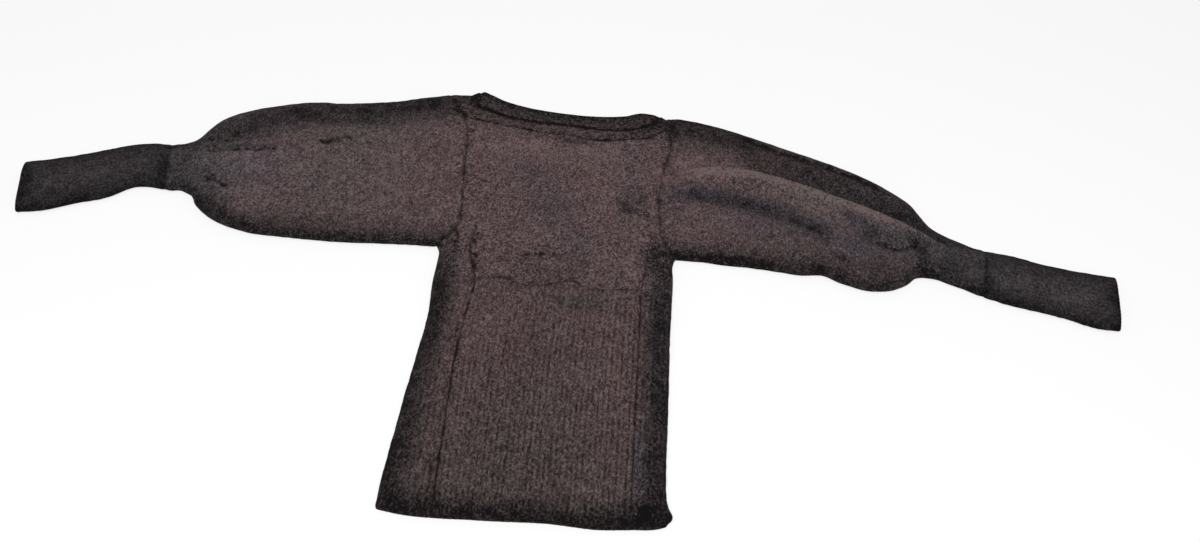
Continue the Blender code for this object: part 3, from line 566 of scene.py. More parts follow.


# %% Dark and cool patches
# Many of these are painted shade: in the underarms' dips, in creases, beside folds, at the hem's
# corner and by the neck's ends. The two below nothing on the left sleeve's ridge are painted
# highlights. The rest are the wool's own uneven tone and wear.
PATCHES = spots(  # how dark, and how cool
    # body and neckband
    (-137, 393, 7, 22, 0.3), (-148, 305, 16, 26, 0.34), (-146, 238, 16, 12, 0.3, 0, -30),
    (-130, 370, 18, 40, 0.04), (-120, 270, 8, 50, -0.1), (-140, 65, 20, 55, 0.08),
    (-165, 5, 20, 20, 0.25), (143, 400, 15, 34, 0.62, 0.4, -15), (150, 425, 10, 18, -0.36),
    (144, 340, 10, 18, -0.18), (154, 375, 12, 12, 0.24), (120, 352, 8, 16, -0.14),
    (136, 188, 9, 20, -0.16), (152, 269, 8, 18, -0.18), (129, 21, 12, 10, -0.2),
    (139, 552, 11, 20, -0.3), (152, 250, 11, 85, 0.33, 0.3), (131, 60, 11, 55, -0.05, 1),
    (155, 4, 36, 22, 0.92, 0.4), (-48, 540, 24, 20, 0.16, 0.45, 30),
    (-12, 478, 28, 40, 0.13, 0.55, 30), (32, 415, 24, 34, 0.22, 0.45, 20),
    (-20, 586, 120, 18, -0.38, 0, -3), (-40, 480, 100, 70, 0.05), (8, 606, 28, 10, 0.42, 0.2, -8),
    (0, 611, 36, 6, 0.26, 0, -5), (-39, 616, 18, 6, 0.18), (78, 583, 26, 6, 0.1),
    (37, 459, 28, 20, -0.12, 0, 30), (-115, 600, 14, 16, 0.16, 0.3), (-35, 380, 65, 24, 0.15),
    (103, 584, 18, 16, 0.22, 0.5), (100, 530, 16, 26, 0.12, 0.4), (95, 484, 13, 7, 0.34, 0.2, -40),
    (108, 484, 20, 22, 0.2, 0.1), (119, 504, 6, 22, 0.14, 0.1), (94, 510, 6, 18, 0.18),
    (92, 462, 5, 12, 0.25, 0.2), (40, 595, 52, 10, -0.26, 0, -3), (-70, 600, 60, 22, -0.12),
    (-150, 684, 12, 10, 0.36), (-148, 660, 10, 14, 0.14), (-20, 668, 90, 6, -0.28, 0, -4),
    (-61, 654, 20, 6, -0.2, 0, -8), (19, 648, 20, 5, -0.2), (122, 655, 22, 11, 0.46, 0, 20),
    (112, 635, 22, 9, 0.52, 0, 22), (92, 598, 5, 9, 0.3, 0.2, 30), (60, 525, 40, 40, -0.1),
    (45, 306, 40, 14, 0.22, 0.3), (0, 355, 120, 18, 0.17), (-77, 350, 22, 12, -0.2),
    (-153, 360, 9, 14, -0.2), (-157, 210, 8, 18, -0.14), (-75, -1, 14, 9, -0.16),
    (-20, 136, 50, 18, 0.08), (-10, 155, 50, 30, 0.09), (0, 262, 30, 18, 0.07),
    (0, 215, 40, 30, 0.08), (10, 320, 50, 30, 0.08), (95, 200, 30, 120, -0.08),
    (0, 60, 140, 60, 0.15),
    # right sleeve
    (-492, 498, 36, 30, 0.16, 0.5), (-455, 460, 20, 30, 0.09), (-503, 480, 5, 5, 0.6),
    (-486, 470, 7, 3, 0.45, 0, -30), (-425, 448, 50, 18, -0.12), (-504, 434, 40, 22, 0.6, 0, -40),
    (-455, 406, 45, 13, 0.2, 0, -18), (-380, 415, 90, 20, 0.1), (-230, 398, 70, 9, 0.26),
    (-425, 520, 55, 55, -0.08, 0.55), (-497, 584, 30, 16, 0.17, 0, 22),
    (-500, 616, 32, 8, -0.2, -0.4, 34), (-330, 500, 70, 60, -0.13), (-352, 478, 14, 36, 0.12, 0.7),
    (-344, 570, 6, 6, 0.7, 0, 30), (-357, 565, 6, 3, 0.4, 0, 30), (-323, 577, 10, 2.5, 0.35, 0, -5),
    (-500, 568, 28, 18, 0.45, 0, 10), (-475, 547, 44, 6, 0.45, 0.4, 5),
    (-475, 529, 46, 5, -0.22, 0, 5), (-390, 628, 26, 16, 0.3, 0.3), (-305, 632, 16, 18, 0.08, 0.4),
    (-320, 594, 40, 7, -0.2), (-345, 616, 60, 9, 0.16, 0, 6), (-270, 646, 56, 9, 0.15, 0, 10),
    (-288, 616, 50, 8, 0.16, 0, 8), (-521, 572, 18, 10, 0.16, 0, 30),
    (-558, 526, 30, 48, 0.37, 0.3), (-526, 466, 22, 12, -0.24), (-228, 664, 40, 16, 0.2, 0, -14),
    (-174, 664, 8, 20, 0.3, 0, 28), (-192, 671, 24, 14, 0.34, 0, -10),
    (-184, 648, 24, 10, 0.42, 0, -8),
    # left sleeve
    (168, 490, 16, 30, 0.16, 0.2), (160, 645, 8, 18, 0.3), (215, 401, 56, 6, 1.1),
    (484, 452, 34, 22, 0.44, 0.3, -10), (252, 541, 3, 7, 0.45, 0.3, 10),
    (315, 573, 42, 10, -0.18, 0, -18), (318, 556, 50, 8, -0.2, 0, -16),
    (180, 514, 26, 15, 0.32, 0.5), (212, 520, 18, 12, -0.16), (285, 503, 40, 12, 0.14, 0.3, -12),
    (362, 464, 28, 14, 0.2, 0.3, -35), (314, 614, 28, 7, 0.28, 0, -24),
    (232, 636, 18, 9, -0.16, 0, -15), (402, 483, 18, 9, 0.16, 0, -20),
    (476, 499, 16, 7, 0.14, 0, -25), (529, 466, 15, 11, -0.22), (455, 405, 14, 12, 0.24),
    (457, 393, 26, 10, 0.26), (170, 426, 12, 14, -0.2), (430, 438, 36, 26, 0.3, 1.1, -10),
    (484, 458, 18, 10, -0.14, 0.2, -10), (340, 436, 34, 16, 0.06), (380, 398, 70, 20, 0.2),
    (300, 460, 60, 18, 0.12, 0.6, -10), (210, 450, 40, 34, 0.02), (560, 430, 34, 60, 0.49, 0.1),
    # cuffs
    (604, 396, 12, 26, 0.4, 0.9, 12), (765, 350, 20, 12, 0.2, 0, -8),
    (612, 428, 30, 14, 0.28, 0, -12), (640, 366, 30, 10, -0.16, 0, -12), (-617, 480, 22, 24, -0.3),
    (-770, 440, 12, 60, 0.35, 0, 12), (-585, 490, 8, 40, 0.32, 0, 10), (-740, 460, 50, 70, 0.14),
    (705, 372, 75, 18, -0.36, 0, -12), (632, 405, 26, 30, -0.24),
)
print(len(PATCHES), "patches")

# %% [markdown]
# The wool is not one brown. It is pinker over the chest and near the armholes, more olive on
# the lower ribs and the middle of the sleeves, and greyer where it is felted at the wrists.

# %% Olive and grey places
TINGES = spots(  # how olive, and how grey
    (-20, 60, 150, 120, 0.75), (-330, 500, 75, 120, 0.85, 0.1), (-300, 610, 90, 30, 0.6),
    (-510, 500, 50, 80, 0.1, 0.65), (-575, 510, 45, 90, 0, 0.8), (335, 430, 60, 30, 0.6, 0.1),
    (440, 540, 110, 50, 0.3, 0.35), (575, 430, 55, 80, 0, 0.85), (480, 450, 50, 50, 0, 0.45),
    (20, 590, 120, 30, 0.25), (300, 552, 70, 22, 0.65), (400, 516, 70, 22, 0.75),
    (490, 480, 40, 16, 0.6),
)


def shade_and_wear_places(x, y):
    """How dark and how cool the patches and bands make each place, with painted shade, painted
    highlights and wear.
    """
    dark, cool = spotted(PATCHES, x, y)
    for band in BANDS:
        near = beside(band, x, y)
        dark += band.dark * near
        cool += band.cool * near
    return dark, cool


print(len(TINGES), "tinges")

# %% [markdown]
# ## From plan to cloth
# A piece is a grid of plan points, each on the upper or the lower layer. Its smooth face is
# found first. Ribs, creases and felted lumps are then pressed in along the face's own
# normal, so that they run round the folds too. On the underside they are only pressed
# inwards, because the sweater lies flat on the floor.

# %% The smooth face
def quarter_round(distance, reach):
    """The height of a quarter circle, from 0 at its edge to 1 at its reach and beyond."""
    return np.sqrt(1.0 - (1.0 - np.clip(distance / reach, 0.0, 1.0)) ** 2)


HEM_DROP = 0.0025  # how much lower the hem lies, and over which length
HEM_DROP_LENGTH = 0.025


def face_height(x, y, over, on_fold=False):
    """The smooth face's height, and how far each point is from a fold."""
    distance = np.where(on_fold, 0.0, near_any(FOLD_LINES, x, y, ROLL))
    crown = np.interp(x, LOFT[:, 0], LOFT[:, 1])
    crown -= HEM_DROP * np.exp(-np.maximum(y, 0) / HEM_DROP_LENGTH)
    for fold in FOLDS:
        crown += fold.height * beside(fold, x, y)
    upper = FOLD_Z + (crown - FOLD_Z) * quarter_round(distance, ROLL)
    under = FOLD_Z * (1.0 - quarter_round(distance, UNDER_ROLL))
    return np.where(over, upper, under), distance


print("chest and left sleeve:", face_height(np.array([0.0, 0.35]), np.array([0.5, 0.54]), True)[0])


def unit(vectors):
    """Vectors with the same directions, each made one long."""
    return vectors / (np.linalg.norm(vectors, axis=-1, keepdims=True) + 1e-12)


def facing(points, wrap):
    """Outward normals of a grid of points whose rows run along the piece."""
    if wrap:
        ring = points[:, :-1]
        across = np.roll(ring, -1, 1) - np.roll(ring, 1, 1)
        across = np.concatenate([across, across[:, :1]], 1)
    else:
        across = np.gradient(points, axis=1)
    along = np.gradient(points, axis=0)
    return unit(np.cross(across, along))


# %% Felted lumps and ribs
def lumps(x, y):
    """Small, middling and large lumps of the felt."""
    return (0.00028 * uneven(x, y, 0.0075, 0) + 0.00035 * uneven(x + 0.3, y, 0.019, 1)
            + 0.00050 * uneven(x, y + 0.2, 0.047, 2))


def rib_grooves(wale, run, strength):
    """How deep a groove is cut: 1 in the middle of a groove, 0 on a rib. wale counts ribs."""
    wale = wale + 0.16 * uneven(wale, run, 0.013, 3) + 0.10 * uneven(wale * 0.05, run, 0.05, 4)
    groove = np.abs(np.cos(math.pi * wale)) ** 5
    broken = 0.52 + 0.75 * uneven(np.round(wale) * 3.1, run, 0.0042, 5)
    return strength * groove * np.clip(0.20 + broken, 0.0, 1.2)


# %% [markdown]
# A patch of cloth is worked out as arrays first: where each of its points goes, and how
# worn it is there. A piece is one patch or several, each put on a grid primitive that has
# as many points. The patches are joined and merged where they meet, and a Solidify gives
# the cloth its thickness, inwards.

# %% A patch
RIB_DEPTH = 0.0009
EDGE_ROUND = 0.0030  # how far in from a free edge it is rounded, and by how much
EDGE_DROP = 0.0012
UNDER_SEAM = 0.0008  # the deepest that a seam sinks on the lower layer
UNDER_RISE = 0.0006  # lumps lower than this don't show underneath
UNDER_FROM, STILL_FROM = 0.012, 0.004  # how far from a fold these are in full force
SEAM_HAZE = 0.4  # of dirt
Patchwork = namedtuple("Patchwork", "points wear hue flip")


def patch(x, y, over, on_fold=False, wrap=False, grooves=0.0, gathers=0.0, edge=None, lift=0.0,
          rim_dark=0.0, flip=False, still_folds=False):
    """Places a grid of plan points. over says which are on the upper layer, on_fold which
    are on a fold, edge is each point's distance from a free edge, which is rounded, and wrap
    joins the last column to the first. rim_dark darkens a rim, and still_folds keeps the
    folds clear of relief, where two patches are to meet."""
    over = over & np.ones(x.shape, bool)
    edge = np.full(x.shape, 1.0) if edge is None else edge
    z, fold = face_height(x, y, over, on_fold)
    points = np.stack([x, y, z + lift], -1)
    normal = facing(points, wrap) * (-1.0 if flip else 1.0)
    seam_depth, seam_dark = line_depths(SEAMS, x, y, SEAM_HAZE)
    crease_depth, crease_shade = line_depths(CREASES, x, y)
    seam_depth = np.where(over, seam_depth, np.minimum(seam_depth, UNDER_SEAM))
    relief = lumps(x, y) - seam_depth - crease_depth * over - RIB_DEPTH * grooves + gathers
    relief -= EDGE_DROP * (1.0 - quarter_round(edge, EDGE_ROUND))
    under = smooth_step(fold / UNDER_FROM) * ~over
    relief = relief * (1.0 - under) + under * np.minimum(relief - UNDER_RISE, 0.0)
    if still_folds:
        relief = relief * smooth_step(fold / STILL_FROM)
    points = points + normal * relief[..., None]
    points[..., 2] = np.maximum(points[..., 2], 0.0)
    points += (*SET_OVER, 0.0)
    wear, hue = shade_and_wear_of(x, y, over, on_fold, seam_dark * over, crease_shade * over,
                        grooves + rim_dark)
    if wrap:
        for values in (points, wear, hue):
            values[:, -1] = values[:, 0]
    return Patchwork(points, wear, hue, flip)


# %% A grid of cloth
MERGE = 0.00002  # points closer than this become one
pieces = {}


def keep(name, piece):
    """Lists a finished piece, and says how many triangles it has."""
    pieces[name] = piece
    print(f"{name}: {sum(len(face.vertices) - 2 for face in piece.data.polygons)} triangles")


def grid_object(name, work):
    """A grid primitive with its points set to those of a patch."""
    rows, columns = work.points.shape[:2]
    deselect_all()
    bpy.ops.mesh.primitive_grid_add(x_subdivisions=columns - 1, y_subdivisions=rows - 1)
    cloth = bpy.context.object
    cloth.name = name
    mesh = cloth.data
    if len(mesh.vertices) != rows * columns:
        raise ValueError(f"{name}: {len(mesh.vertices)} points, not {rows} x {columns}")
    mesh.vertices.foreach_set("co", work.points.reshape(-1))
    for title, values in (("wear", work.wear), ("hue", work.hue)):
        attribute = mesh.attributes.new(title, "FLOAT_VECTOR", "POINT")
        attribute.data.foreach_set("vector", values.astype(np.float32).reshape(-1))
    if work.flip:
        mesh.flip_normals()
    mesh.update()
    return cloth


# %% Making a piece
def make_cloth(name, *works):
    """Joins patches to one piece of cloth, and gives it its thickness."""
    parts = [grid_object(name, work) for work in works]
    deselect_all()
    for part in parts:
        part.select_set(True)
    cloth = parts[0]
    bpy.context.view_layer.objects.active = cloth
    if len(parts) > 1:
        bpy.ops.object.join()
    bpy.ops.object.mode_set(mode="EDIT")
    bpy.ops.mesh.select_all(action="SELECT")
    bpy.ops.mesh.remove_doubles(threshold=MERGE)
    bpy.ops.object.mode_set(mode="OBJECT")
    cloth.name = cloth.data.name = f"{name}_cloth"
    wall = cloth.modifiers.new("wall", "SOLIDIFY")
    wall.thickness = WALL
    wall.offset = -1.0
    bpy.ops.object.modifier_apply(modifier="wall")
    places = np.empty(3 * len(cloth.data.vertices))
    cloth.data.vertices.foreach_get("co", places)
    places[2::3] = np.maximum(places[2::3], 0.0)  # a tight fold's inner side stays off the floor
    cloth.data.vertices.foreach_set("co", places)
    bpy.ops.object.shade_smooth()
    keep(name, cloth)


# %% [markdown]
# ## Shade and wear
# Five numbers travel with every point of the cloth: how dark it is, how dark it is in a groove,
# and how plum, olive or grey its brown has gone. Along its edges and folds, on its lower layer
# and in its creases and rib grooves the darkness is painted shade; in its seams it is dirt.

# %% Darkness, grooves and hue
CUFF_ENDS = [drawn(crossing(arm[-1])) for arm in (RIGHT_ARM, LEFT_ARM)]
OUTLINE = FOLD_LINES + [drawn(HEM), drawn(BACK_FREE_EDGE)] + CUFF_ENDS
EDGE_REACH, EDGE_DARK = 0.046, 0.66  # the broad shade along the outline
RIM_REACH, RIM_DARK = 0.009, 0.42  # and the narrow one at its rim
UNDER_SHADE = 0.35  # the least painted shade that the lower layer has
LIGHTEST, DARKEST = -0.8, 1.4
RIB_SHADE = 0.75  # how dark a groove between ribs is beside a seam
BLACKEST_GROOVE = 1.12


def shade_and_wear_of(x, y, over, on_fold, seam_dark, crease_shade, grooves):
    """How dark each place is, with painted shade along the outline and on the lower layer, how dark
    in a groove, and of what hue.
    """
    # painted shade along the outline, with a narrower, darker rim, and a least painted shade on the
    # lower layer
    outline = np.where(on_fold, 0.0, near_any(OUTLINE, x, y, EDGE_REACH))
    at_edge = EDGE_DARK * (1.0 - outline / EDGE_REACH) ** 1.3
    at_rim = RIM_DARK * bell(outline, RIM_REACH) * (1.0 + 0.3 * uneven(x, y, 0.011, 8))
    at_edge = 1.0 - (1.0 - at_edge) * (1.0 - at_rim)
    patchy = 1.0 + 0.16 * uneven(x, y, 0.013, 6) + 0.16 * uneven(x, y, 0.0052, 7)
    dark, cool = shade_and_wear_places(x, y)
    dark = patchy * (1.0 - (1.0 - at_edge) * (1.0 - np.clip(dark, LIGHTEST, DARKEST)))
    dark = np.clip(np.where(over, dark, np.maximum(at_edge, UNDER_SHADE)), LIGHTEST, DARKEST)
    # painted shade in the grooves between ribs, in creases and at the neckband's rim and inside, and
    # dirt in the seams
    grooved = np.maximum(seam_dark, crease_shade) + RIB_SHADE * grooves
    grooved = np.clip(grooved, 0.0, BLACKEST_GROOVE)
    plum = np.clip(cool * over, -0.6, 1.0)
    wear = np.stack([dark, grooved, np.zeros(x.shape)], -1)  # a vector has a third part too
    return wear, np.stack([plum, *spotted(TINGES, x, y)], -1)


# %% [markdown]
# ## The body
# The two front panels reach from side seam to side seam. Columns are set close enough that
# each rib of the lower panel gets six of them. Rows may be further apart, because a rib
# runs straight up the panel.

# %% Rows and columns
RIB_PITCH = 0.00665
FELTED_FLAT = 0.60  # the share of a rib's relief that is lost at the waist
WAVE_FADE = 0.02  # how far above and below the waist its seam's waves reach


def at_waist(y):
    """1 at the seam between ribs and bodice, fading above and below it."""
    return np.exp(-np.abs(y - RIB_SEAM_Y) / WAVE_FADE)


def up_rows(first, last, step):
    """Numbers along the body's rows that step evenly up from one row to another."""
    heights = np.asarray(RIGHT_FOLD)[:, 1]
    count = int((heights[last] - heights[first]) / step) + 1
    return np.interp(np.linspace(heights[first], heights[last], count), heights,
                     np.arange(len(heights)))


def hem_dip(x, y):
    """How far the hem hangs below its own row, fading over the ribs just above it."""
    line = drawn(HEM)
    return np.interp(x, line[:, 0], line[:, 1]) * (1.0 - np.clip(y / 0.04, 0.0, 1.0)) ** 2


def waist_wave(x, y):
    """How far the seam between ribs and bodice wanders up and down in front."""
    line = drawn(WAIST_WAVE)
    return np.interp(x, line[:, 0], line[:, 1]) * at_waist(y)


def side_wave(x, y):
    """The same seam's small waves beside the side folds. Its gap is never straight there."""
    out = np.where(x > 0.0, LEFT_FOLD[RIB_SEAM][0] - x, x - RIGHT_FOLD[RIB_SEAM][0])
    return 0.0010 * np.sin(2.0 * math.pi * out / 0.011) * at_waist(y)


# %% Grids
def span(start, end, shares):
    """A grid of points, each row running from its start to its end."""
    return start[:, None, :] + (end - start)[:, None, :] * np.asarray(shares)[None, :, None]


def xy(grid):
    """The x and the y of a grid of plan points."""
    return np.moveaxis(grid, -1, 0)


def in_columns(grid, columns):
    """Which points of a grid are in these columns."""
    return np.broadcast_to(np.isin(np.arange(grid.shape[1]), columns), grid.shape[:2])


def drawn_in(points, first_row=0, last_row=0, first_column=0, last_column=0):
    """Draws the chosen edges of a grid in by half of the seam gap."""
    points = points.copy()
    turned = points.swapaxes(0, 1)
    for chosen, grid, edge, inner in ((first_row, points, 0, 1), (last_row, points, -1, -2),
                                      (first_column, turned, 0, 1), (last_column, turned, -1, -2)):
        if chosen:
            grid[edge] += unit(grid[inner] - grid[edge]) * SEAM_GAP / 2.0
    return points


def from_fold(width, reach, rise, fine, coarse):
    """Shares of a width out from a fold: fine steps round the roll, and coarse ones on."""
    out = width * np.linspace(0.0, 1.0, 4000) ** 2
    height = rise * quarter_round(out, reach)
    run = np.hypot(np.diff(out), np.diff(height))
    steps = run / np.where(out[1:] < reach, fine, coarse)
    total = np.append(0.0, np.cumsum(steps))
    count = max(int(round(total[-1])), 2)
    return np.interp(np.linspace(0.0, total[-1], count + 1), total, out) / width


def both_folds(width, reach, rise, fine, coarse):
    """The same between two folds."""
    half = from_fold(width / 2.0, reach, rise, fine, coarse) / 2.0
    return np.concatenate([half, 1.0 - half[-2::-1]])


def rib_strength(x, y):
    """The ribs felt flat towards the waist, more so on the wearer's right."""
    flat_from = 0.10 + 0.55 * (x + 0.12)
    return 1.0 - FELTED_FLAT * smooth_step((y - flat_from) / 0.20)


print("rib strength at the hem and the waist:", rib_strength(0.0, np.array([0.0, RIB_SEAM_Y])))

# %% The front rib panel
RIB_ROW_STEP = 0.0026
FRONT_WIDTH = 0.232
at = up_rows(0, RIB_SEAM, RIB_ROW_STEP)
shares = np.linspace(0.0, 1.0, 268)
grid = span(curve(RIGHT_SEAM, at), curve(LEFT_SEAM, at), shares)
grid[..., 1] += hem_dip(*xy(grid)) + waist_wave(*xy(grid))
x, y = xy(drawn_in(grid, last_row=1, first_column=1, last_column=1))
wale = shares * round(FRONT_WIDTH / RIB_PITCH) + np.zeros(x.shape)
grooves = rib_grooves(wale, y, rib_strength(x, y))
make_cloth("front_rib_panel", patch(x, y, True, grooves=grooves, edge=y - y[:1]))

# %% The back rib panel
# It starts at the left side seam, goes round the left fold, under, and round the right one.
UPPER_RISE = 0.0115  # how far the upper layer rises from a side fold
left_strip = from_fold(0.042, ROLL, UPPER_RISE, 0.0010, 0.0010)[::-1]
right_strip = from_fold(0.060, ROLL, UPPER_RISE, 0.0010, 0.0010)
beneath = both_folds(0.332, UNDER_ROLL, FOLD_Z, 0.0009, 0.0022)
left_fold, right_fold = curve(LEFT_FOLD, at), curve(RIGHT_FOLD, at)
grid = np.concatenate([
    span(left_fold, curve(LEFT_SEAM, at), left_strip),
    span(left_fold, right_fold, beneath[1:]),
    span(right_fold, curve(RIGHT_SEAM, at), right_strip[1:]),
], 1)
folds = (len(left_strip) - 1, len(left_strip) + len(beneath) - 2)
over = ~in_columns(grid, range(folds[0], folds[1] + 1))
on_fold = in_columns(grid, folds)
grid[..., 1] += hem_dip(*xy(grid)) + side_wave(*xy(grid)) * over
x, y = xy(drawn_in(grid, last_row=1, first_column=1, last_column=1))
z = face_height(x, y, over, on_fold)[0]
middle = len(x) // 2
run = np.hypot(np.diff(x[middle]), np.diff(z[middle]))
wale = np.append(0.0, np.cumsum(run)) / RIB_PITCH + 40.0 + np.zeros(x.shape)
grooves = rib_grooves(wale, y, rib_strength(x, y) * np.where(over, 0.9, 0.8))
make_cloth("back_rib_panel", patch(x, y, over, on_fold, grooves=grooves, edge=y - y[:1]))

# %% [markdown]
# The bodice is plain knitting, so its grid is nearly square. Above the underarm its rows
# are strung from armhole to armhole, and bend more and more towards the neck seam's curve.

# %% The front bodice
BODICE_STEP = 0.0017


def neck_blend(level):
    """How far the rows bend to the neck's shape, from 0 at the side seam's end to 1."""
    rise = (level - SIDE_SEAM_END) / (NECK_CORNER - SIDE_SEAM_END)
    return np.clip(rise, 0.0, 1.0) ** 1.5


def strung(start, end, shares, neck_seam, blend):
    """Rows of points strung from edge to edge, drawn towards the neck seam's shape."""
    rows = span(start, end, shares)
    neck = curve(neck_seam, even(neck_seam, shares))
    chord = neck[:1] + (neck[-1:] - neck[:1]) * np.asarray(shares)[:, None]
    return rows + (neck - chord)[None] * np.asarray(blend)[:, None, None]


def front_edge(seam, armhole, at):
    """The front bodice's edge: up the side seam to its end, and on up the armhole."""
    return np.where((at <= UNDERARM + SIDE_SEAM_END)[:, None], curve(seam, at),
                    curve(armhole, at - UNDERARM))


at = np.linspace(RIB_SEAM, UNDERARM + NECK_CORNER, 400)
height = front_edge(RIGHT_SEAM, RIGHT_ARMHOLE, at)[:, 1]
at = np.interp(np.linspace(height[0], height[-1], int(0.31 / BODICE_STEP)), height, at)
shares = np.linspace(0.0, 1.0, int(0.275 / BODICE_STEP))
grid = strung(front_edge(RIGHT_SEAM, RIGHT_ARMHOLE, at), front_edge(LEFT_SEAM, LEFT_ARMHOLE, at),
              shares, FRONT_NECK_SEAM, neck_blend(at - UNDERARM))
grid[..., 1] += waist_wave(*xy(grid))
make_cloth("front_bodice", patch(*xy(drawn_in(grid, 1, 1, 1, 1)), True))

# %% [markdown]
# The back bodice is the lower layer, and carries two strips that come round the side folds
# and narrow to the end of the side seam. Strips and back share the fold's points up to the
# underarm, where they part.

# %% The back bodice
BACK_STEP = 0.0040
waist = up_rows(RIB_SEAM, UNDERARM, 0.0020)
levels = np.linspace(0.0, NECK_CORNER, 62)[1:]
left_side = np.concatenate([curve(LEFT_FOLD, waist), curve(LEFT_ARMHOLE, levels)])
right_side = np.concatenate([curve(RIGHT_FOLD, waist), curve(RIGHT_ARMHOLE, levels)])
blend = np.concatenate([np.zeros(len(waist)), neck_blend(levels)])
beneath = both_folds(0.32, UNDER_ROLL, FOLD_Z, 0.0009, BACK_STEP)
grid = drawn_in(strung(left_side, right_side, beneath, BACK_NECK_SEAM[::-1], blend), 1, 1)
on_fold = np.zeros(grid.shape[:2], bool)
on_fold[:len(waist), [0, -1]] = True
works = [patch(*xy(grid), False, on_fold, still_folds=True)]
tongue = np.linspace(0.0, SIDE_SEAM_END - 0.12, 26)[1:]
for seam, fold, armhole, turned in ((LEFT_SEAM, LEFT_FOLD, LEFT_ARMHOLE, True),
                                    (RIGHT_SEAM, RIGHT_FOLD, RIGHT_ARMHOLE, False)):
    outer = np.concatenate([curve(fold, waist), curve(armhole, tongue)])
    inner = curve(seam, np.concatenate([waist, UNDERARM + tongue]))
    grid = span(outer, inner, from_fold(0.046, ROLL, UPPER_RISE, 0.0010, 0.0016))
    grid[..., 1] += side_wave(*xy(grid))
    grid = drawn_in(grid, first_row=1, last_column=1)
    grid[len(waist):, 0] += unit(grid[:, 1] - grid[:, 0])[len(waist):] * SEAM_GAP / 2.0
    on_fold = np.zeros(grid.shape[:2], bool)
    on_fold[:len(waist), 0] = True
    if turned:
        grid, on_fold = grid[:, ::-1], on_fold[:, ::-1]
    works.append(patch(*xy(grid), True, on_fold, still_folds=True))
make_cloth("back_bodice", *works)

# %% [markdown]
# ## Sleeves and cuffs
# A sleeve is a tube of sections. Its columns start at the fold on the hem side, go over the
# top to the fold on the neck side and come back underneath. The fullness is gathered into
# the cuff, so wrinkles run together towards the wrist.

# %% Tubes
GATHER_REACH, GATHER_DEPTH = 0.075, 0.0022
GATHERS = 9  # wrinkles on each layer at a wrist


def ring_layers(grid, upper):
    """Which points of a ring are on the upper layer, its first columns, and on its folds."""
    return in_columns(grid, range(upper)), in_columns(grid, (0, upper - 1, grid.shape[1] - 1))


def tube(armhole, arm, at, top, bottom):
    """Plan points round an arm's sections, which are on the upper layer and which on a fold."""
    shares = np.concatenate([top, bottom[-2::-1]])
    ends = curve(arm, at)
    grid = span(ends[:, :2], ends[:, 2:], shares)
    bow = curve(armhole, even(armhole, shares))
    bow -= bow[:1] + (np.asarray(armhole[-1]) - armhole[0]) * shares[:, None]
    grid += bow[None] * smooth_step(1.0 - at)[:, None, None]
    over, on_fold = ring_layers(grid, len(top))
    return grid, over, on_fold, shares + np.zeros(grid.shape[:2])


def gathered(x, y, shares, seam):
    """Wrinkles that run into a gathered seam."""
    distance = near_any([drawn(seam)], x, y, GATHER_REACH)
    fade = smooth_step(1.0 - distance / GATHER_REACH) ** 1.5 * smooth_step(distance / 0.004 + 0.2)
    phase = shares * GATHERS + 0.55 * uneven(shares * 0.1, distance, 0.022, 6)
    wrinkle = 1.0 - np.abs(np.cos(math.pi * phase)) ** 0.8
    return -GATHER_DEPTH * fade * wrinkle * (0.7 + 0.4 * uneven(x, y, 0.02, 7))


# %% Sleeves and cuffs
SLEEVE_WIDTH, CUFF_WIDTH = 0.270, 0.094
for side, armhole, arm, wrist, flip in (
    ("right", RIGHT_ARMHOLE, RIGHT_ARM, len(RIGHT_SLEEVE) + 1, False),
    ("left", LEFT_ARMHOLE, LEFT_ARM, len(LEFT_SLEEVE) + 1, True),
):
    at = even(arm[:wrist + 1], np.linspace(0.0, 1.0, 200))
    top = both_folds(SLEEVE_WIDTH, ROLL, 0.0150, 0.0018, 0.0021)
    bottom = both_folds(SLEEVE_WIDTH, UNDER_ROLL, FOLD_Z, 0.0010, 0.0055)
    grid, over, on_fold, shares = tube(armhole, arm, at, top, bottom)
    x, y = xy(drawn_in(grid, 1, 1))
    wrinkles = gathered(x, y, shares, crossing(arm[wrist]))
    make_cloth(f"{side}_sleeve", patch(x, y, over, on_fold, wrap=True, gathers=wrinkles, flip=flip))

    at = wrist + even(arm[wrist:], np.linspace(0.0, 1.0, 130))
    top = both_folds(CUFF_WIDTH, ROLL, 0.0085, 0.0013, 0.0013)
    bottom = both_folds(CUFF_WIDTH, UNDER_ROLL, FOLD_Z, 0.0010, 0.0030)
    grid, over, on_fold, shares = tube(armhole, arm, at, top, bottom)
    x, y = xy(drawn_in(grid, 1))
    end = near_any([drawn(crossing(arm[-1]))], x, y, 0.01)
    grooves = rib_grooves(shares * round(CUFF_WIDTH / RIB_PITCH), x, 0.45)
    wrinkles = 0.5 * gathered(x, y, shares, crossing(arm[wrist]))
    make_cloth(f"{side}_cuff", patch(x, y, over, on_fold, wrap=True, grooves=grooves,
                                     gathers=wrinkles, edge=end, flip=flip))

# %% [markdown]
# ## The neckband
# The band is a ring. Its front half lies on the bodice's front and its back half stands a
# little off the floor behind it, so that its inside shows through the open neck.

